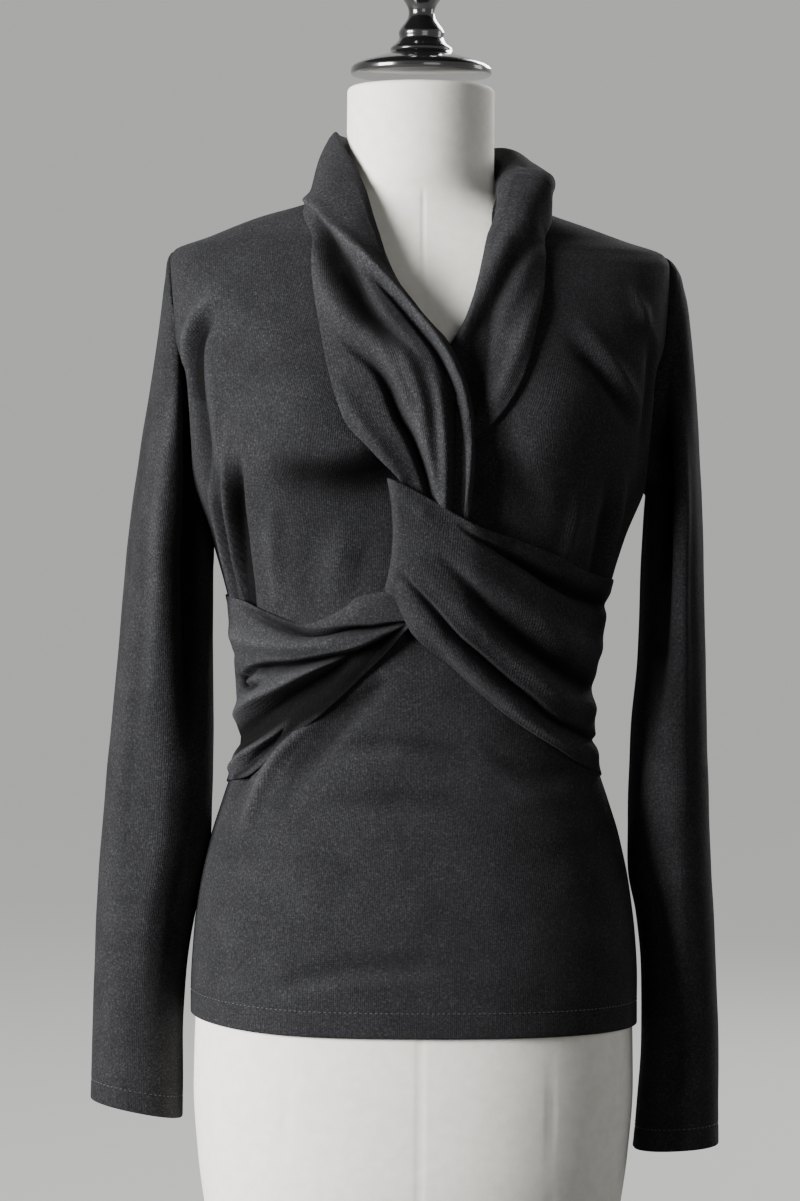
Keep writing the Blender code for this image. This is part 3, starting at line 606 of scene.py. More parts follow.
sashLeft = {  # a row for each section, from inside the twist to the side seam
    "topTurn": [-5, -12, -15.6, -13, 1.8, 17.3, 26, 33.7, 46.2, 65, 89.4],
    "topZ": [700, 708, 712, 711, 700, 686, 678, 671, 661, 646, 641],
    "footTurn": [-6, -13, -15.5, -12.5, -4.7, 11.6, 22, 32.2, 50.9, 70.5, 89.4],
    "footZ": [641, 639, 637, 633, 606, 583, 567, 552.6, 529, 509, 503],
    "lift": [4.5, 6.5, 13, 20.5, 24, 22.5, 18, 14, 11, 8, 3.4],
    "topLift": [4.5, 6.5, 12, 18.5, 20.5, 20.5, 14, 6, 3.6, 3.2, 0.6],
    "footLift": [4.5, 6.5, 12, 17, 16, 9, 5, 3.6, 3.4, 3.0, 0.6],
}
sashRight = {
    "topTurn": [3, -6, -13, -24.7, -32, -46.2, -58, -71.4, -89.4],
    "topZ": [624, 629, 634, 630.4, 620.5, 610, 617, 626.5, 629],
    "footTurn": [3.5, -1, -4.5, -15, -26, -38, -52, -70.5, -89.4],
    "footZ": [608, 608, 611, 591, 573, 553, 531, 501, 497],
    "lift": [11, 12, 12.5, 12.5, 12.4, 12, 11.6, 9.6, 4.4],
    "topLift": [11, 11.5, 11, 6, 3.8, 3.6, 3.6, 3.2, 1.2],
    "footLift": [11, 11.5, 10, 5, 2.6, 2.2, 2.2, 2.4, 1.2],
}


pressed = {"depth": 3.0, "fromEdge": 7.0, "ease": 12.0, "fromTurn": 40.0, "easeTurn": 25.0}


def pressedIn(turns, heights):  # what lies under a sash near the side seam gives way to its folds
    total = 0
    for table, side in ((sashLeft, left), (sashRight, right)):
        ends = []
        for edge in ("top", "foot"):
            edgeTurns = side * np.array(table[edge + "Turn"][3:], float)
            ends.append(np.interp(side * turns, edgeTurns, table[edge + "Z"][3:]))
        inside = (smoothStep((ends[0] - pressed["fromEdge"] - heights) / pressed["ease"])
                  * smoothStep((heights - ends[1] - pressed["fromEdge"]) / pressed["ease"]))
        nearSeam = smoothStep((side * turns - pressed["fromTurn"]) / pressed["easeTurn"])
        total = total + pressed["depth"] * inside * nearSeam
    return total


def seamDip(distance, depth=1.0, width=1.6):  # the cloth sinks into a sewn seam
    return -depth * np.exp(-((distance / width) ** 2))


rightShoulder = {"x": -118.0, "rise": 3.2, "across": 38.0, "from": 862.0, "ease": 34.0}


def shoulderRise(points):  # the right shoulder sits a little higher on the form
    make, x, z = rightShoulder, points[..., 0], points[..., 2]
    near = np.exp(-(((x - make["x"]) / make["across"]) ** 2))
    return make["rise"] * near * smoothStep((z - make["from"]) / make["ease"])


def hemHeight(turn):
    side = np.sin(np.radians(turn))
    rise = np.where(side < 0, panelCut["hemRiseRight"], panelCut["hemRiseLeft"])
    return panelCut["hem"] + rise * np.abs(side) ** 7


def armholeHeights(count):  # closer together towards the ends, where the edge curves most
    share = np.linspace(0, 1, count)
    spread = 0.45 * (2 * share - 1) - 0.55 * np.cos(math.pi * share)
    return armhole["height"] + armhole["halfHeight"] * spread


def armholeSink(height):  # the front of the armhole is drawn in, between the bust and the arm
    fromTop = smoothStep((armhole["to"] - height) / armhole["easeTop"])
    return armhole["sink"] * fromTop * smoothStep((height - armhole["from"]) / armhole["easeFoot"])


def frontEdge(height):
    return 90 - armholeTurn(height, armhole["front"]) - panelCut["sideGap"]


def underbust(share):
    return panelCut["middleSeam"] + (panelCut["sideSeam"] - panelCut["middleSeam"]) * share


def ripple(points, size):  # the slight unevenness of cloth that has been worn and steamed
    x, y, z = (points[..., k] for k in range(3))
    return size * (
        np.sin(x / 17 + 1.3 * np.sin(z / 39)) * np.sin(z / 23 + 0.8 * np.sin(x / 31))
        + 0.6 * np.sin((x + y) / 9.5 + 2 * np.sin(z / 27)) * np.sin((z - y) / 13)
    )


def makeBodice(side):
    share = np.linspace(0, 1, 130)
    low = np.linspace(panelCut["sideSeam"], armholeHeights(3)[0], 64)[:-1]
    shoulder = np.linspace(armhole["height"] + armhole["halfHeight"], panelCut["neckTop"], 26)[1:]
    levels = np.concatenate([low, armholeHeights(72), shoulder])
    rise = (levels - panelCut["sideSeam"]) / (levels[-1] - panelCut["sideSeam"])
    heights = levels[:, None] + (underbust(share) - panelCut["sideSeam"]) * (1 - rise[:, None]) ** 3
    innerX = smoothColumn(neckline["height"], neckline["x"], heights)
    inner, outer = turnAt(innerX, heights), frontEdge(heights)
    turns = side * (inner + (outer - inner) * share)
    base = onBody(turns, heights, 0.0)
    across = rowLengths(base)[:, None]
    relief = foldRelief(tape(turns, heights), heights, bodiceRightFolds if side == right else bodiceLeftFolds)
    fromEdge = (1 - share) * across
    relief = relief * smoothStep(fromEdge / panelCut["calmEdge"])
    sink = armholeSink(heights) * np.exp(-((fromEdge / panelCut["sinkEdge"]) ** 3))
    relief = relief - sink - pressedIn(turns, heights)
    folded = relief
    relief = clearOfForm(relief, heights) + seamDip(fromEdge) + ripple(base, 0.22) + shoulderRise(base)
    points = base + outwards(base) * relief[..., None]
    return clothPiece("bodiceRight" if side == right else "bodiceLeft", points, folded)


def makeLowerFront():
    share = np.linspace(-1, 1, 150)
    rise = np.linspace(1, 0, 118)[:, None]
    top = underbust(np.abs(share))
    turns = share * (90 - panelCut["sideGap"]) + 0 * rise
    hem = hemHeight(turns)
    heights = hem + (top - hem) * rise
    base = onBody(turns, heights, 0.0)
    across = rowLengths(base)[:, None]
    relief = foldRelief(tape(turns, heights), heights, lowerFrontFolds) - pressedIn(turns, heights)
    folded = clearOfForm(relief, heights)
    relief = folded + seamDip((1 - np.abs(share)) * across / 2) + ripple(base, 0.18)
    relief = relief + seamDip(heights - hem - panelCut["hemDepth"], 0.35, 1.0)
    out = outwards(base)
    points = base + out * relief[..., None]
    level = (hem + panelCut["hemDepth"] + stitchMake["below"]).ravel()
    return hemmedPiece("lowerFront", "hemStitchesFront", points, out, folded, heights, level,
                       panelCut["hemDepth"])


def makeBack():
    share = np.linspace(0, 1, 140)
    shoulder = np.linspace(panelCut["neckTop"], armhole["height"] + armhole["halfHeight"], 24)[:-1]
    below = np.linspace(armholeHeights(3)[0], panelCut["hem"], 122)[1:]
    levels = np.concatenate([shoulder, armholeHeights(60)[::-1], below])[:, None]
    edge = 90 + panelCut["sideGap"] + armholeTurn(levels, armhole["back"])
    turns = edge + (360 - 2 * edge) * share
    sink = (levels - panelCut["neckEdge"]) / (panelCut["hem"] - panelCut["neckEdge"])
    heights = levels + (hemHeight(turns) - panelCut["hem"]) * sink**4
    base = onBody(turns, heights, 0.0)
    across = rowLengths(base)[:, None]
    fromMiddle = np.abs(tape(centreBack, heights)) - np.abs(tape(turns, heights))
    fromBack = np.where(turns < 180, 1, -1) * fromMiddle
    relief = foldRelief(fromBack, heights, backFolds)
    edgeDistance = np.minimum(share, 1 - share) * across
    folded = clearOfForm(relief, heights)
    relief = folded + seamDip(edgeDistance) + ripple(base, 0.2) + shoulderRise(base)
    relief = relief + seamDip(heights - hemHeight(turns) - panelCut["hemDepth"], 0.35, 1.0)
    out = outwards(base)
    points = base + out * relief[..., None]
    level = hemHeight(turns[-1]) + panelCut["hemDepth"] + stitchMake["below"]
    return hemmedPiece("backPanel", "hemStitchesBack", points, out, folded, heights, level,
                       panelCut["hemDepth"])


bodiceRight, bodiceLeft = makeBodice(right), makeBodice(left)
lowerFront, frontStitches = makeLowerFront()
back, backStitches = makeBack()

sleeveDepth = {  # a row for each section, from the shoulder to the cuff
    "front": [32, 38, 46, 53, 56, 56, 53, 49, 45, 42, 40, 39],
    "back": [48, 52, 54, 56, 57, 57, 55, 51, 47, 43, 41, 40],
    "centreY": [2, 4, 6, 8, 9, 10, 11, 12, 13, 14, 15, 15],
}
sleeveRight = {
    "outerX": [181.5, 184.5, 188, 193.5, 200.5, 206.5, 212.5, 219, 225, 229, 231, 232],
    "outerZ": [866, 846, 815, 775, 730, 680, 612, 540, 468, 396, 330, 268],
    "innerX": [157, 152, 149, 146, 146, 146.5, 146, 145.5, 146.5, 160, 165.5, 165.5],
    "innerZ": [702, 692, 683, 672, 660, 644, 592, 528, 460, 388, 322, 255],
    **sleeveDepth,
}
sleeveLeft = {
    "outerX": [188, 193.5, 197.5, 200.5, 202.5, 205, 208, 211.5, 215, 218.5, 221.5, 222.5],
    "outerZ": [864, 843, 812, 772, 728, 672, 600, 520, 440, 380, 310, 237],
    "innerX": [166, 165, 164.5, 164, 163.5, 163, 161.5, 156, 155, 165, 166, 160.5],
    "innerZ": [702, 692, 684, 673, 660, 642, 590, 518, 440, 376, 306, 233],
    **sleeveDepth,
}
sleeveMake = {"squareness": 2.2, "round": 270.0, "long": 640.0, "sections": 24, "columns": 108, "rows": 236,
              "cuff": 16.0, "pressedBelow": 704.0, "calmEdge": 25.0}

# millimetres round from the outer side, forwards, and height: the front is at 68, the inner side at 135
sleeveRightFolds = [
    ([(52, 840), (56, 780), (54, 700), (58, 620), (54, 520)], (7, 9, 9), (0, 2.4, 3.2, 2.4, 0), 0),
    ([(80, 818), (86, 760), (88, 700), (90, 640), (92, 580), (92, 510)], (9, 14, 16, 16, 14, 10),
     (0, -9, -14, -14, -12, -7, 0), 0),
    ([(40, 690), (48, 600), (44, 500), (50, 400)], (8, 9, 8), (0, -1.4, -1.6, 0), 0),
    ([(66, 560), (72, 480), (68, 400), (72, 330)], (7, 8, 7), (0, 1.4, 1.5, 0), 0),
    ([(96, 500), (92, 430), (97, 350), (92, 290)], (7, 8, 7), (0, -1.4, -1.2, 0), 0),
    ([(120, 610), (96, 600), (70, 606)], (5, 6, 5), (0, -1.2, 0), 0.2),
    ([(124, 580), (100, 572), (80, 578)], (5, 5, 5), (0, 1.1, 0), 0),
    ([(14, 820), (20, 740), (14, 650), (20, 560)], (8, 10, 8), (0, -1.5, -1.3, 0), 0),
    ([(262, 800), (256, 720), (262, 640), (255, 540)], (8, 9, 8), (0, 1.6, 1.4, 0), 0),
    ([(230, 830), (222, 760), (228, 690), (220, 610)], (7, 9, 8), (0, -2.0, -1.8, 0), 0),
    ([(200, 800), (196, 730), (202, 660), (196, 580)], (7, 9, 8), (0, 1.9, 1.6, 0), 0),
    ([(176, 700), (190, 640), (205, 592), (222, 566)], (6, 7, 7), (0, -1.9, -1.6, 0), 0.2),
    ([(166, 640), (184, 600), (206, 570)], (6, 7, 6), (0, 1.6, 0), 0),
    ([(216, 540), (210, 460), (216, 380), (210, 300)], (8, 9, 8), (0, -1.5, -1.2, 0), 0),
    ([(186, 520), (190, 440), (184, 350)], (7, 8, 7), (0, 1.4, 0), 0),
    ([(34, 360), (40, 320), (36, 284)], (6, 7, 6), (0, 1.0, 0), 0),
]
sleeveLeftFolds = [
    ([(56, 845), (60, 780), (58, 700), (60, 620), (58, 540)], (7, 9, 9), (0, 2.2, 2.8, 2.0, 0), 0),
    ([(84, 812), (88, 756), (90, 700), (92, 640), (92, 580), (94, 520)], (8, 12, 14, 14, 12, 9),
     (0, -7, -11, -11, -9, -5, 0), 0),
    ([(42, 740), (50, 650), (46, 560), (52, 450)], (8, 9, 8), (0, -1.5, -1.6, 0), 0),
    ([(70, 500), (64, 430), (70, 360), (66, 300)], (7, 8, 7), (0, 1.5, 1.2, 0), 0),
    ([(94, 480), (88, 400), (94, 320)], (7, 8, 7), (0, -1.4, 0), 0),
    ([(122, 598), (100, 588), (76, 594)], (5, 6, 5), (0, -1.2, 0), 0.2),
    ([(20, 800), (14, 720), (20, 620), (14, 520)], (8, 10, 8), (0, 1.5, 1.3, 0), 0),
    ([(258, 820), (262, 740), (256, 650), (262, 560)], (8, 9, 8), (0, -1.6, -1.4, 0), 0),
    ([(226, 820), (232, 750), (226, 680), (230, 600)], (7, 9, 8), (0, 1.9, 1.7, 0), 0),
    ([(198, 790), (204, 720), (198, 650), (202, 570)], (7, 9, 8), (0, -1.9, -1.6, 0), 0),
    ([(172, 690), (188, 632), (206, 586), (226, 560)], (6, 7, 7), (0, 1.8, 1.5, 0), 0.2),
    ([(182, 700), (200, 640), (218, 600)], (6, 7, 6), (0, -1.6, 0), 0),
    ([(214, 520), (220, 440), (212, 350), (216, 280)], (8, 9, 8), (0, -1.5, -1.2, 0), 0),
    ([(184, 500), (180, 420), (186, 330)], (7, 8, 7), (0, 1.4, 0), 0),
    ([(58, 300), (72, 282), (88, 270)], (4, 5, 4), (0, -1.0, 0), 0.2),
]


def armholeRing(side, angles, lift):  # on the very edge of the front and the back
    heights = armhole["height"] + armhole["halfHeight"] * np.cos(angles)
    ahead = 90 - armholeTurn(heights, armhole["front"])
    behind = 90 + armholeTurn(heights, armhole["back"])
    front = np.sin(angles) >= 0
    lifts = lift - np.where(front, armholeSink(heights), 0)
    return onBody(side * np.where(front, ahead, behind), heights, lifts)


def beside(points):  # pressed against the body's side, never into it
    x, y, z = (points[..., k] for k in range(3))
    turns = np.degrees(np.arctan2(np.abs(x), -y))
    reach = np.linalg.norm(skin(turns, z)[..., :2], axis=-1) - 0.3
    push = np.where(z < sleeveMake["pressedBelow"], np.maximum(reach / np.hypot(x, y), 1), 1)
    return points * np.stack([push, push, np.ones_like(push)], axis=-1)


def makeSleeve(side):
    make, table = sleeveMake, sleeveRight if side == right else sleeveLeft
    angles = np.radians(np.linspace(0, 360, make["columns"] + 1))
    power = 2 / make["squareness"]
    outward = np.sign(np.cos(angles)) * np.abs(np.cos(angles)) ** power
    forward = np.sign(np.sin(angles)) * np.abs(np.sin(angles)) ** power
    rings = [armholeRing(side, angles, -3.0), armholeRing(side, angles, 0.0)]
    for share in np.linspace(0, 1, make["sections"]):
        row = rowValues(table, share)
        middleX, reachX = (row["outerX"] + row["innerX"]) / 2, (row["outerX"] - row["innerX"]) / 2
        middleZ, reachZ = (row["outerZ"] + row["innerZ"]) / 2, (row["outerZ"] - row["innerZ"]) / 2
        depth = np.where(forward > 0, row["front"], row["back"])
        rings.append(np.stack([side * (middleX + reachX * outward), row["centreY"] - depth * forward,
                               middleZ + reachZ * outward], axis=-1))
    base = throughStations(np.stack(rings), make["rows"], axis=0)
    around = np.degrees(angles) * make["round"] / 360 + 0 * base[..., 0]
    folds = sleeveRightFolds if side == right else sleeveLeftFolds
    turned = (around + shift for shift in (-make["round"], 0, make["round"]))
    relief = sum(foldRelief(places, base[..., 2], folds) for places in turned)
    fromArmhole = np.linspace(0, 1, make["rows"])[:, None] * make["long"]
    fromCuff = make["long"] - fromArmhole
    folded = relief * smoothStep(fromArmhole / make["calmEdge"])
    capEase = 1.2 * np.exp(-(((fromArmhole - 9) / 6) ** 2))  # the sleeve head stands up beside its seam
    relief = folded + ripple(base, 0.22) + seamDip(fromArmhole, 0.9, 2.2) + capEase
    relief = relief + seamDip(fromCuff - make["cuff"], 0.35, 1.2)
    inside = np.minimum(np.abs(around - make["round"] / 2), 60)
    relief = relief + seamDip(inside, 0.8, 1.8)
    out = outwards(base, wrap=True)
    points = beside(base + out * relief[..., None])
    hand = "Right" if side == right else "Left"
    fromEnd = fromCuff + 0 * base[..., 0]
    level = np.full(base.shape[1], make["cuff"] + stitchMake["below"])
    return hemmedPiece("sleeve" + hand + "Cloth", "cuffStitches" + hand, points, out, folded, fromEnd,
                       level, make["cuff"], wrap=True)


rightSleeve, rightStitches = makeSleeve(right)
leftSleeve, leftStitches = makeSleeve(left)

# The collar is an inner leg up from the neck seam, a roll, and a wide fall
collarRight = {  # turns go towards the collar's own side; a row for each section, centre back to twist
    "rollTurn": [179.95, 150, 120, 93, 62, 40.2, 27, 14, 3, -10, -16.4, -19.5, -19.5, -18, -16, -14],
    "rollZ": [957, 960, 963, 964, 945, 914, 880, 848, 825, 803, 780, 753, 725, 700, 680, 668],
    "fallTurn": [179.95, 150, 116, 91, 75, 60, 50.5, 44, 39.5, 36, 32.5, 29, 20, 8.5, 6, 4],
    "fallZ": [902, 903, 908, 914, 908, 890, 867, 838, 812, 789, 767, 748, 728, 707, 690, 674],
    "standTurn": [179.95, 150, 120, 93, 66, 46, 36, 26.6, 19.4, 12.6, 6, -1.5, -6, -7, -7, -6],
    "standZ": [921, 921, 921, 920, 915, 903, 875, 845, 822, 800, 777, 752, 725, 703, 684, 670],
    "standLift": [2, 2, 2, 2, 2, 2, 2, 2, 2.4, 5, 10.4, 11, 11, 11, 11, 11],
    "rollLift": [5, 5, 5, 5, 5.4, 5.6, 5.8, 7, 10.4, 14, 14, 14, 14, 14, 14, 14],
    "rollHalf": [3, 3, 3, 3, 3.2, 3.4, 3.4, 3.4, 3.4, 3.2, 3, 3, 3, 3, 3, 3],
    "fallLift": [3.6, 3.6, 3.6, 3.6, 3.6, 3.6, 3.6, 3.6, 3.6, 3.6, 4.4, 7, 11, 14, 14, 14],
    "puff": [3, 3, 3, 4, 6, 7, 7, 8, 8, 7, 6, 5, 2, 0, 0, 0],
}
collarLeft = {
    "rollTurn": [179.95, 150, 120, 93, 68, 52, 41, 30, 22.5, 15.5, 8, 2, -5, -10],
    "rollZ": [957, 957, 957, 951, 937, 914, 889.5, 862, 837, 815, 797, 777, 752, 735],
    "fallTurn": [179.95, 150, 118, 92, 76, 62, 53, 47, 42, 38, 33, 26.5, 17, 6],
    "fallZ": [902, 903, 907, 911, 904, 887, 865, 843, 820, 796, 773, 754, 738, 722],
    "standTurn": [179.95, 150, 120, 93, 68, 46, 40, 30, 22.4, 16, 10.6, 4.8, -1.5, -5],
    "standZ": [921, 921, 921, 920, 915, 904, 882, 856, 832, 811, 793, 773, 752, 731],
    "standLift": [2, 2, 2, 2, 2, 2, 2, 2, 2, 2, 2, 2.4, 3, 3],
    "rollLift": [5, 6, 9, 13, 12, 7.4, 5.8, 5.6, 5.4, 4.4, 4.3, 4.4, 4.8, 4.8],
    "rollHalf": [3, 4, 7, 10, 9.6, 5.2, 3.8, 3.6, 3.4, 2.4, 2.2, 2, 1.8, 1.8],
    "fallLift": [3.6, 3.6, 3.6, 3.6, 3.6, 3.6, 3.6, 3.6, 3.6, 3.6, 3.6, 3.6, 3.6, 3.6],
    "puff": [3, 4, 8, 15, 16, 11, 8, 7, 4, 1, 0.5, 0, 0, 0],
}
collarMake = {"rows": 260, "columns": 112, "round": 0.6, "bridgeFrom": 865.0, "bridgeOver": 60.0,
              "bridgeRoom": 12.0, "clear": 1.8, "leastDepth": 0.5, "lessPaintedShade": 1.0}
edgeHem = {"depth": 5.0, "fold": 2.3}  # round the collar and the sashes

collarRightFolds = [
    # the neck band's lower edge, a sharp lip over the fall
    ([(-98, 916), (-84, 908), (-71, 899), (-63, 887), (-53, 869), (-39, 852), (-25, 837), (-7, 817), (9, 799),
      (20, 784), (29, 768), (33, 752)],
     (3.2, 4.2, 4.8, 4.8, 4.6, 4.2, 4, 3.5), (1.5, 4.5, 5.8, 6.6, 6.2, 5.4, 4.6, 4, 3), -0.45),
    ([(-39, 849), (-31, 839), (-19, 826), (-5, 809), (9, 793), (17, 779), (22, 766)],
     (1.6, 2.0, 2.4, 2.8), (0, -4, -5, -6.5, -7), 0.2),
    ([(15, 784), (22, 766), (25, 752), (27, 731), (26, 709), (24, 690), (22, 672)],
     (2.0, 3.4, 4.6, 5.0, 5.0), (0, -7, -12, -13, -13), 0),
    ([(36, 768), (38, 751), (38, 742), (34, 727), (30, 706), (26, 687)], (2.5, 3, 3), (0, 4, 5, 5), 0),
    # the wide hollow under it
    ([(-73, 896), (-67, 885), (-63, 874), (-58, 861), (-50, 845), (-43, 830), (-35, 817), (-24, 805),
      (-12, 795)],
     (3.6, 5.8, 7.4, 7.6, 7, 5.8, 4.6), (0, -9, -13, -14, -12, -10, -6, -1), 0.5),
    ([(-32, 806), (-19, 789), (-9, 769), (-1, 746), (5, 722), (9, 700)],
     (5, 7, 7, 5.5), (0, 4.0, 5.0, 4.4, 2.6), 0),
    ([(-80, 880), (-75, 862), (-69, 842), (-60, 824), (-50, 810), (-38, 800)],
     (5, 8, 9, 8, 6), (0, 3.2, 4.6, 4.2, 2.4, 0), 0),
    ([(-61, 808), (-52, 796), (-40, 785), (-32, 773), (-23, 752), (-14, 739), (-7, 727), (0, 713), (4, 700)],
     (3, 3.6, 4.0, 4.0, 4.0, 4), (0, -4.5, -8, -9.5, -10, -8), -0.2),
    ([(-46, 814), (-37, 799), (-27, 783), (-18, 762), (-9, 745), (-2, 727), (5, 706), (10, 690)],
     (5, 6, 6, 5, 4.5), (0, 2.8, 3.4, 3.0, 2.6, 2.0), 0),
    ([(2, 785), (10, 766), (14, 746), (16, 724), (16, 694)], (4, 5, 5.4, 4.8), (0, 3.4, 4.4, 4.4, 3.6), 0),
    ([(-66, 786), (-57, 762), (-46, 743), (-34, 729), (-20, 713)], (5, 6, 6), (0, 2.6, 3.4, 3.0), 0),
    ([(-170, 950), (-230, 948), (-300, 946)], (6, 7, 6), (0, 1.4, 0.6), 0),
]
collarLeftFolds = [
    ([(90, 884), (76, 874), (65, 860), (55, 843), (46, 828), (41, 806), (39, 784), (36, 762)],
     (5, 8, 9, 8, 6), (0, -5.0, -8.0, -8.0, -4.0), 0.25),
    ([(62, 892), (54, 868), (45, 848), (36, 828), (26, 808)], (5, 7, 7, 6), (0, 2.8, 3.4, 2.6), 0),
    ([(92, 864), (83, 842), (72, 818), (62, 792), (52, 768)], (5, 7, 7, 6), (0, 2.8, 3.4, 2.4), 0),
    ([(110, 912), (92, 908), (72, 912)], (3, 4, 3), (0, -1.8, 0), 0),
    ([(40, 796), (34, 778), (26, 761), (16, 744)], (3, 4, 4), (0, -3.0, -3.0), 0),
]


def makeCollar(side):
    table, make = (collarRight if side == right else collarLeft), collarMake
    row = rowValues(table, np.linspace(0, 1, make["rows"]))
    inner, outer = row["rollLift"] - row["rollHalf"], row["rollLift"] + row["rollHalf"]
    sag = make["round"] * row["rollHalf"]  # the roll's two shoulders lie below its crown
    stations = []
    for toward in (1.0, 0.8, 0.6, 0.4, 0.22, 0.08):
        turn = row["rollTurn"] + (row["standTurn"] - row["rollTurn"]) * toward
        height = row["rollZ"] + (row["standZ"] - row["rollZ"]) * toward - sag * (1 - toward) ** 2
        lift = row["standLift"] + (inner - row["standLift"]) * (1 - toward**3)
        stations.append((onBody(turn, height, lift), turn, height, lift))
    stations.append((onBody(row["rollTurn"], row["rollZ"], row["rollLift"]), row["rollTurn"], row["rollZ"],
                     row["rollLift"]))
    top = onBody(row["rollTurn"], row["rollZ"] - sag, outer)
    end = onBody(row["fallTurn"], row["fallZ"], row["fallLift"])
    chord = end - top
    bulge = np.cross(chord, onBody(row["rollTurn"] + 5, row["rollZ"], outer) - top)
    bulge /= np.linalg.norm(bulge, axis=-1, keepdims=True)
    bulge *= np.where((bulge * top * [1, 1, 0]).sum(axis=-1) < 0, -1, 1)[:, None]
    bridging = np.clip((row["rollZ"] - make["bridgeFrom"]) / make["bridgeOver"], 0, 1)[:, None]
    for toward in (0.06, 0.14, 0.24, 0.35, 0.47, 0.6, 0.72, 0.84, 0.93, 1.0):
        puff = row["puff"] * math.sin(math.pi * toward)
        lift = outer + (row["fallLift"] - outer) * toward**2 + puff
        turn = row["rollTurn"] + (row["fallTurn"] - row["rollTurn"]) * toward
        height = row["rollZ"] + (row["fallZ"] - row["rollZ"]) * toward - sag * (1 - toward) ** 2
        followed = onBody(turn, height, lift)
        spanned = top + chord * toward + bulge * puff[:, None]
        point = followed + (spanned - followed) * bridging
        stations.append((point, turn, height, lift + make["bridgeRoom"] * bridging[:, 0]))
    place = []
    for k, (point, turn, height, lift) in enumerate(stations):
        onFall = np.full(len(turn), float(k > 6))
        place.append(np.concatenate([point, np.stack([turn, height, onFall, lift], axis=1)], axis=1))
    base = throughStations(np.stack(place, axis=1), make["columns"])
    across = side * tape(np.clip(base[..., 3], -60, 179.8), base[..., 4])
    folds = collarRightFolds if side == right else collarLeftFolds
    outside = smoothStep(base[..., 5])
    relief = foldRelief(across, base[..., 4], folds) * outside
    folded = bottomOut(relief, np.minimum(make["clear"] - base[..., 6], -make["leastDepth"]))
    points = base[..., :3] * [side, 1, 1]
    out = outwards(points)
    points = points + out * (folded + ripple(points, 0.25))[..., None]
    points = turnUnder(np.swapaxes(points, 0, 1), np.swapaxes(out, 0, 1), **edgeHem)
    name = "collarRightCloth" if side == right else "collarLeftCloth"
    # the collar's folds take a little less painted shade than the body's
    return clothPiece(name, points, folded.T + make["lessPaintedShade"])


rightCollar, leftCollar = makeCollar(right), makeCollar(left)

# The sashes are the collar's ends, twisted at the centre and gathered into the side seams
sashLeftFolds = [
    ([(22, 686), (34, 677), (52, 665), (72, 653), (91, 642), (113, 633), (145, 628), (200, 622)],
     (1.4, 3, 5, 6.5, 7, 5), (0, -6, -10, -12, -11, -8, -4), -0.2),
    ([(-14, 676), (4, 669), (26, 659), (44, 644), (61, 629), (77, 618), (95, 606), (130, 596), (200, 592)],
     (7, 9, 9, 8, 6), (0, 2.0, 4.4, 5.0, 4.6, 2.6), 0),
    ([(8, 664), (20, 653), (31, 640), (41, 626), (52, 614), (63, 605), (76, 595), (92, 585), (116, 574),
      (150, 566), (200, 564)],
     (3, 5, 7, 8, 8, 6), (0, -4.4, -7.5, -9.5, -9, -6, -3), 0.1),
    ([(-8, 658), (14, 636), (31, 618), (46, 602), (62, 588), (78, 576), (94, 564), (130, 553), (200, 546)],
     (5, 7, 7, 6), (0, 2.6, 4.4, 4.6, 2.6), 0),
    ([(-22, 655), (-14, 648), (-4, 637), (8, 623), (21, 606), (33, 595), (45, 584), (60, 571), (75, 560),
      (88, 549), (102, 541), (140, 530), (200, 524)],
     (1.8, 2.6, 3.0, 3.4, 3.4), (0, -6, -8.5, -9, -8, -4), 0.5),
    ([(-16, 634), (2, 612), (20, 592), (38, 574), (56, 560), (76, 542), (100, 528), (150, 516)],
     (4, 5, 5), (0, 2.4, 3.0, 2.6, 1.6), 0),
    ([(-22, 704), (-6, 694), (18, 682)], (5, 6, 5), (0, 2.0, 0), 0),
]
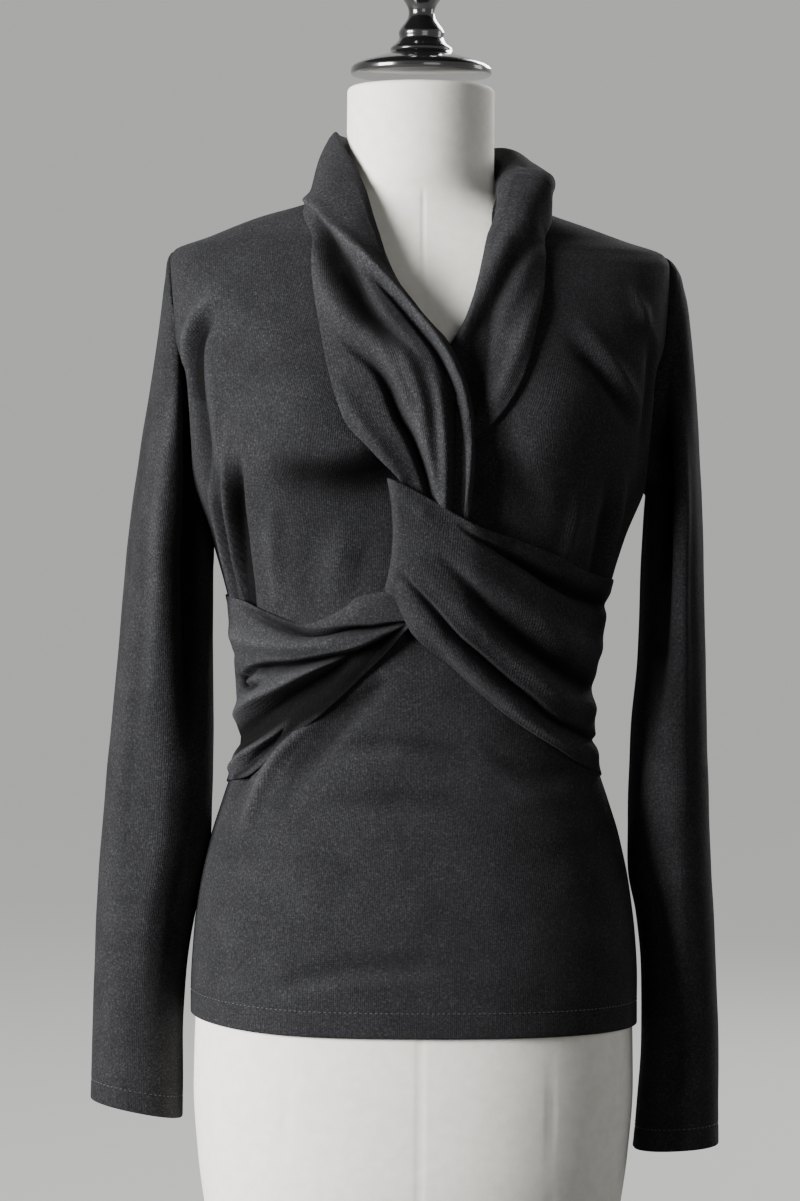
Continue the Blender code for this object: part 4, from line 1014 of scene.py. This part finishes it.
sashRightFolds = [
    ([(-2, 613), (-23, 611), (-34, 609), (-52, 608), (-70, 606), (-82, 606), (-93, 609), (-103, 612),
      (-122, 619), (-150, 624)],
     (1.6, 2.2, 2.6, 2.6, 2.6), (0, -8.0, -11, -10, -9, -7, -4, 0), -0.3),
    ([(-18, 600), (-46, 592), (-58, 589), (-70, 586), (-82, 583.5), (-95, 582), (-109, 581), (-127, 577),
      (-140, 571)],
     (2.4, 3.0, 3.2, 3.0), (0, -8, -12, -11, -10, -8), -0.35),
    ([(-2, 612), (-20, 600), (-42, 585), (-64, 571), (-84, 558), (-103, 547), (-125, 537), (-150, 528),
      (-190, 520)],
     (2.6, 6, 8.5, 9, 9, 8, 6), (0, -14, -20, -20, -19, -18, -14, -9), -0.1),
    ([(-14, 596), (-34, 581), (-54, 564), (-72, 551), (-86, 541), (-100, 529), (-116, 517), (-134, 506),
      (-150, 500)],
     (4, 5.5, 6, 5, 3, 2.6, 2.6), (0, -9, -12, -10, -8, -8, -8), 0),
    ([(-36, 602), (-62, 598), (-86, 596), (-112, 598), (-150, 602), (-185, 604)],
     (4.5, 6, 6.5), (0, 4.0, 5.0, 4.6, 3.0), 0),
    ([(-24, 604), (-42, 595), (-64, 584), (-84, 573), (-103, 563), (-125, 554), (-150, 545), (-190, 538)],
     (2.6, 4.5, 5.5, 6), (0, 4.0, 6.0, 8.0, 7.0, 4.0), 0.2),
    ([(-152, 575), (-140, 568), (-130, 565), (-119, 567), (-108, 569)], (2.0, 2.8, 2.2), (-3, -8, -7, 0), 0),
    ([(-146, 582), (-140, 574), (-139, 566), (-146, 560)], (2.0, 2.4, 2.0), (0, -6, -6, 0), 0),
    ([(-132, 584), (-120, 576), (-110, 562)], (3, 4, 3), (0, 3.4, 0), 0),
    ([(-150, 590), (-168, 586), (-190, 588)], (3, 4, 4), (0, -4, -5, -3), 0),
    ([(-150, 556), (-168, 550), (-190, 552)], (3, 4, 4), (0, -4, -5, -3), 0),
    ([(-88, 541), (-103, 531), (-128, 518), (-155, 508), (-190, 499)],
     (2.0, 2.8, 3.0), (0, 5.0, 6.0, 5.4, 4.0), 0),
    ([(-112, 533), (-130, 525), (-152, 517)], (1.4, 1.8, 1.8), (0, -3, -4), 0),
]


sashMake = {"sewnDepth": 2.6, "clear": 1.6, "calm": 0.62, "lessPaintedShade": 1.5}


def makeSash(name, table, folds, rows, columns, waist):
    share = np.linspace(0, 1, rows)[:, None]
    across = np.linspace(0, 1, columns)
    row = rowValues(table, share)
    turns = row["topTurn"] + (row["footTurn"] - row["topTurn"]) * across
    turns = turns + waist * (1 - (2 * across - 1) ** 2) * smoothStep((0.45 - share) / 0.25)
    heights = row["topZ"] + (row["footZ"] - row["topZ"]) * across
    crown = 1 - np.abs(2 * across - 1) ** 4
    edgeLift = row["topLift"] + (row["footLift"] - row["topLift"]) * across
    sewn = smoothStep((share - 0.94) / 0.06)
    lifts = edgeLift + (row["lift"] - edgeLift) * crown - sashMake["sewnDepth"] * sewn
    base = onBody(turns, heights, lifts)
    room = smoothStep(np.minimum(across, 1 - across) / 0.05)
    folded = foldRelief(tape(turns, heights), heights, folds)
    calmed = 1 - sashMake["calm"] * smoothStep((share - 0.78) / 0.2)  # the side seam holds the folds down
    floor = sashMake["clear"] - lifts - pressedIn(turns, heights)
    relief = bottomOut(folded * room * calmed, floor)
    out = outwards(base)
    points = base + out * (relief + ripple(base, 0.2))[..., None]
    points = turnUnder(np.swapaxes(points, 0, 1), np.swapaxes(out, 0, 1), **edgeHem)
    folded = np.pad(folded.T, ((0, len(points) - columns), (0, 0)), "edge")
    points = turnUnder(points[::-1], outwards(points)[::-1], **edgeHem)
    # the sashes' folds take less painted shade than the body's
    return clothPiece(name, points, folded[::-1] + sashMake["lessPaintedShade"])


leftSash = makeSash("sashLeftCloth", sashLeft, sashLeftFolds, rows=220, columns=150, waist=3.0)
rightSash = makeSash("sashRightCloth", sashRight, sashRightFolds, rows=240, columns=170, waist=0.0)

for piece, node in ((bodiceRight, "bodice_right"), (bodiceLeft, "bodice_left"), (lowerFront, "lower_front"),
                    (back, "back"), (rightSleeve, "sleeve_right"), (leftSleeve, "sleeve_left"),
                    (rightCollar, "collar_right"), (leftCollar, "collar_left"), (leftSash, "sash_left"),
                    (rightSash, "sash_right")):
    finishPiece(piece, jersey, "jersey", node)
print("cloth dressed")

formMake = {"bottom": 112.0, "top": 1004.0, "columns": 240, "rows": 300, "edge": 4.0, "trim": 4,
            "neckSeam": 921.0, "girth": 860.0, "length": 950.0}
panelSeam = [(94, 120), (94, 300), (72, 480), (78, 560), (92, 700), (88, 800), (60, 900)]
formSeams = [  # millimetres from the centre front at each height, and depth
    ([(0, 120), (0, 300), (0, 500), (0, 700), (0, 916)], (1.1, 1.1), (-0.7, -0.7), 0),
    (panelSeam, (1.1, 1.1), (-0.7, -0.7), 0),
    ([(-across, height) for across, height in panelSeam], (1.1, 1.1), (-0.7, -0.7), 0),
]


def closedEnd(ring, direction):  # a rounded edge, then level in to the axis
    rim, rows = formMake["edge"], []
    for angle in np.radians((18, 36, 54, 72, 90)):
        flat = ring * [1, 1, 0]
        length = np.linalg.norm(flat, axis=-1, keepdims=True)
        pulled = flat * (1 - rim * (1 - np.cos(angle)) / length)
        rows.append(pulled + [0, 0, ring[0, 2] + direction * rim * np.sin(angle)])
    last = rows[-1]
    rows += [last * [keep, keep, 1] for keep in (0.9, 0.75, 0.55, 0.3, 0.1, 0.0)]
    return np.stack(rows)


def makeForm():
    make = formMake
    turns = np.linspace(-180, 180, make["columns"] + 1)
    heights = np.linspace(make["top"], make["bottom"], make["rows"])[:, None]
    inset = bodyColumn("formInset", heights) + 0 * turns
    base = onBody(turns, heights, -inset)
    across = tape(np.clip(turns, -centreBack, centreBack), heights)
    relief = foldRelief(across, heights + 0 * turns, formSeams)
    relief = relief + seamDip(np.abs(tape(centreBack, heights)) - np.abs(across), 0.7, 1.1)
    relief = relief + seamDip(heights - make["neckSeam"], 0.8, 1.2)
    relief = relief + seamDip((np.abs(turns) - 90) * 2.4, 0.7, 1.1)  # 2.4 mm to a degree at the side
    points = (base + outwards(base, wrap=True) * relief[..., None])[make["trim"]:-make["trim"]]
    points = np.concatenate([closedEnd(points[0], 1)[::-1], points, closedEnd(points[-1], -1)])
    points[..., 2] = np.clip(points[..., 2], make["bottom"], make["top"])
    bm = laidGrid(points, make["girth"], make["length"])
    bmesh.ops.remove_doubles(bm, verts=bm.verts, dist=1e-6)
    bmesh.ops.recalc_face_normals(bm, faces=bm.faces)
    return placePiece("formTorso", bm)


finishPiece(makeForm(), canvas, "canvas", "form_torso")


def spunLine(line, steps):  # round the upright axis
    bm = bmesh.new()
    verts = [bm.verts.new((r, 0, z)) for r, z in line]
    edges = [bm.edges.new(pair) for pair in zip(verts, verts[1:])]
    bmesh.ops.spin(bm, geom=verts + edges, cent=(0, 0, 0), axis=(0, 0, 1), angle=math.tau, steps=steps,
                   use_merge=True)
    bmesh.ops.remove_doubles(bm, verts=bm.verts, dist=1e-6)
    bmesh.ops.recalc_face_normals(bm, faces=bm.faces)
    return bm


def spinPiece(name, profile, steps, fine=5):  # profile runs from the axis at the top to the axis at the foot
    dense = []
    for (startR, startZ), (endR, endZ) in zip(profile, profile[1:]):
        dense.extend((startR + (endR - startR) * k / fine, startZ + (endZ - startZ) * k / fine)
                     for k in range(fine))
    dense.append(profile[-1])
    line = np.array(dense)
    for _ in range(fine + 1):
        line[1:-1] = line[1:-1] * 0.5 + (line[:-2] + line[2:]) * 0.25
    return placePiece(name, spunLine([(max(r, 0) * mm, z * mm) for r, z in line], steps))


capFoot = 1004.3
capProfile = [(0, 78), (9, 76.5), (15, 71), (17, 64), (15, 57), (10.5, 51), (9, 46), (10, 41), (15, 35),
              (17, 31), (15.5, 27), (19, 23), (23, 20), (22, 16.5), (34, 13), (47, 9), (51, 6), (51, 1.5),
              (49.5, 0), (0, 0)]
finishPiece(spinPiece("neckCap", [(r, capFoot + z) for r, z in capProfile], steps=72), lacquer,
            "turned_wood", "neck_cap")
postProfile = [(0, 111.7), (30, 111.7), (30, 105.7), (20, 101.7), (16, 95.7), (16, 38.3), (20, 32.3),
               (26, 28.3), (26, 22.3), (0, 22.3)]
finishPiece(spinPiece("standPost", postProfile, steps=64), steel, "steel", "stand_post")
baseProfile = [(0, 22), (116, 22), (136, 19), (146, 14), (150, 8), (148, 3), (145, 0), (0, 0)]
finishPiece(spinPiece("standBase", baseProfile, steps=128), steel, "steel", "stand_base")
print("form and stand made")

studio = {  # sizes in metres
    "floorRadius": 9.0, "wallHeight": 9.0, "corner": 2.0, "steps": 96, "paper": "#6e6e6d",
    "glow": "#f4f4f2", "glowStrength": 0.5, "air": "#e4e4e4", "airStrength": 0.07,
}


def makeBackdrop():
    floorR, corner = studio["floorRadius"], studio["corner"]
    line = [(0, 0), (floorR, 0)]
    line += [(floorR + corner * math.sin(angle), corner - corner * math.cos(angle))
             for angle in np.radians(np.arange(9, 91, 9))]
    line.append((floorR + corner, studio["wallHeight"]))
    bm = spunLine(line, studio["steps"])
    bm.normal_update()
    bm.faces.ensure_lookup_table()
    if bm.faces[0].normal.z < 0:
        bmesh.ops.reverse_faces(bm, faces=bm.faces)
    sweep = placePiece("studioSweep", bm)
    paper, _ = newMaterial("matteBackdropPaper", {
        "Base Color": colour(studio["paper"]), "Roughness": 0.95,
        "Emission Color": colour(studio["glow"]), "Emission Strength": studio["glowStrength"]})
    sweep.visible_diffuse = False  # it throws no light back on the cloth
    sweep.data.materials.append(paper)
    return sweep


makeBackdrop()

lights = {  # place and aim in metres, width, height, power in watts, tint
    "keySoftbox": ((-2.9, -1.5, 1.3), (0, 0, 0.6), 1.5, 1.4, 410, "#ffffff"),
    "fillPanel": ((0.9, -3.4, 0.9), (0, 0, 0.6), 1.6, 1.6, 18, "#ffffff"),
    "backPanelLight": ((1.7, 2.6, 2.4), (0, 0, 0.6), 1.6, 1.6, 150, "#ffffff"),
    "sideKicker": ((3.6, 0.9, 1.3), (0, 0, 0.6), 1.2, 1.6, 24, "#ffffff"),
}
for name, (place, aim, wide, high, power, tint) in lights.items():
    lamp = bpy.data.lights.new(name, "AREA")
    lamp.shape = "RECTANGLE"
    lamp.size, lamp.size_y, lamp.energy, lamp.color = wide, high, power, colour(tint)[:3]
    holder = bpy.data.objects.new(name, lamp)
    holder.location = place
    holder.rotation_euler = (Vector(aim) - Vector(place)).to_track_quat("-Z", "Y").to_euler()
    bpy.context.scene.collection.objects.link(holder)
world = bpy.data.worlds.new("studioAir")
world.use_nodes = True
world.node_tree.nodes["Background"].inputs[0].default_value = colour(studio["air"])
world.node_tree.nodes["Background"].inputs[1].default_value = studio["airStrength"]
bpy.context.scene.world = world

view = {  # places in metres, angles in degrees, sensor and focal length in millimetres
    "yaw": -2.5, "distance": 3.0, "aim": (0, 0, 0.627), "roll": 0.45,
    "sensor": 36.0, "focal": 124.9059, "sideways": -0.014155,
}
lens = bpy.data.cameras.new("portraitCamera")
lens.sensor_fit, lens.sensor_height = "VERTICAL", view["sensor"]
lens.lens, lens.shift_x = view["focal"], view["sideways"]
camera = bpy.data.objects.new("portraitCamera", lens)
aim, yaw = Vector(view["aim"]), math.radians(view["yaw"])
camera.location = aim + Vector((math.sin(yaw), -math.cos(yaw), 0)) * view["distance"]
camera.rotation_euler = (aim - camera.location).to_track_quat("-Z", "Y").to_euler()
camera.rotation_euler.rotate_axis("Z", math.radians(view["roll"]))
bpy.context.scene.collection.objects.link(camera)
bpy.context.scene.camera = camera

bpy.context.view_layer.update()
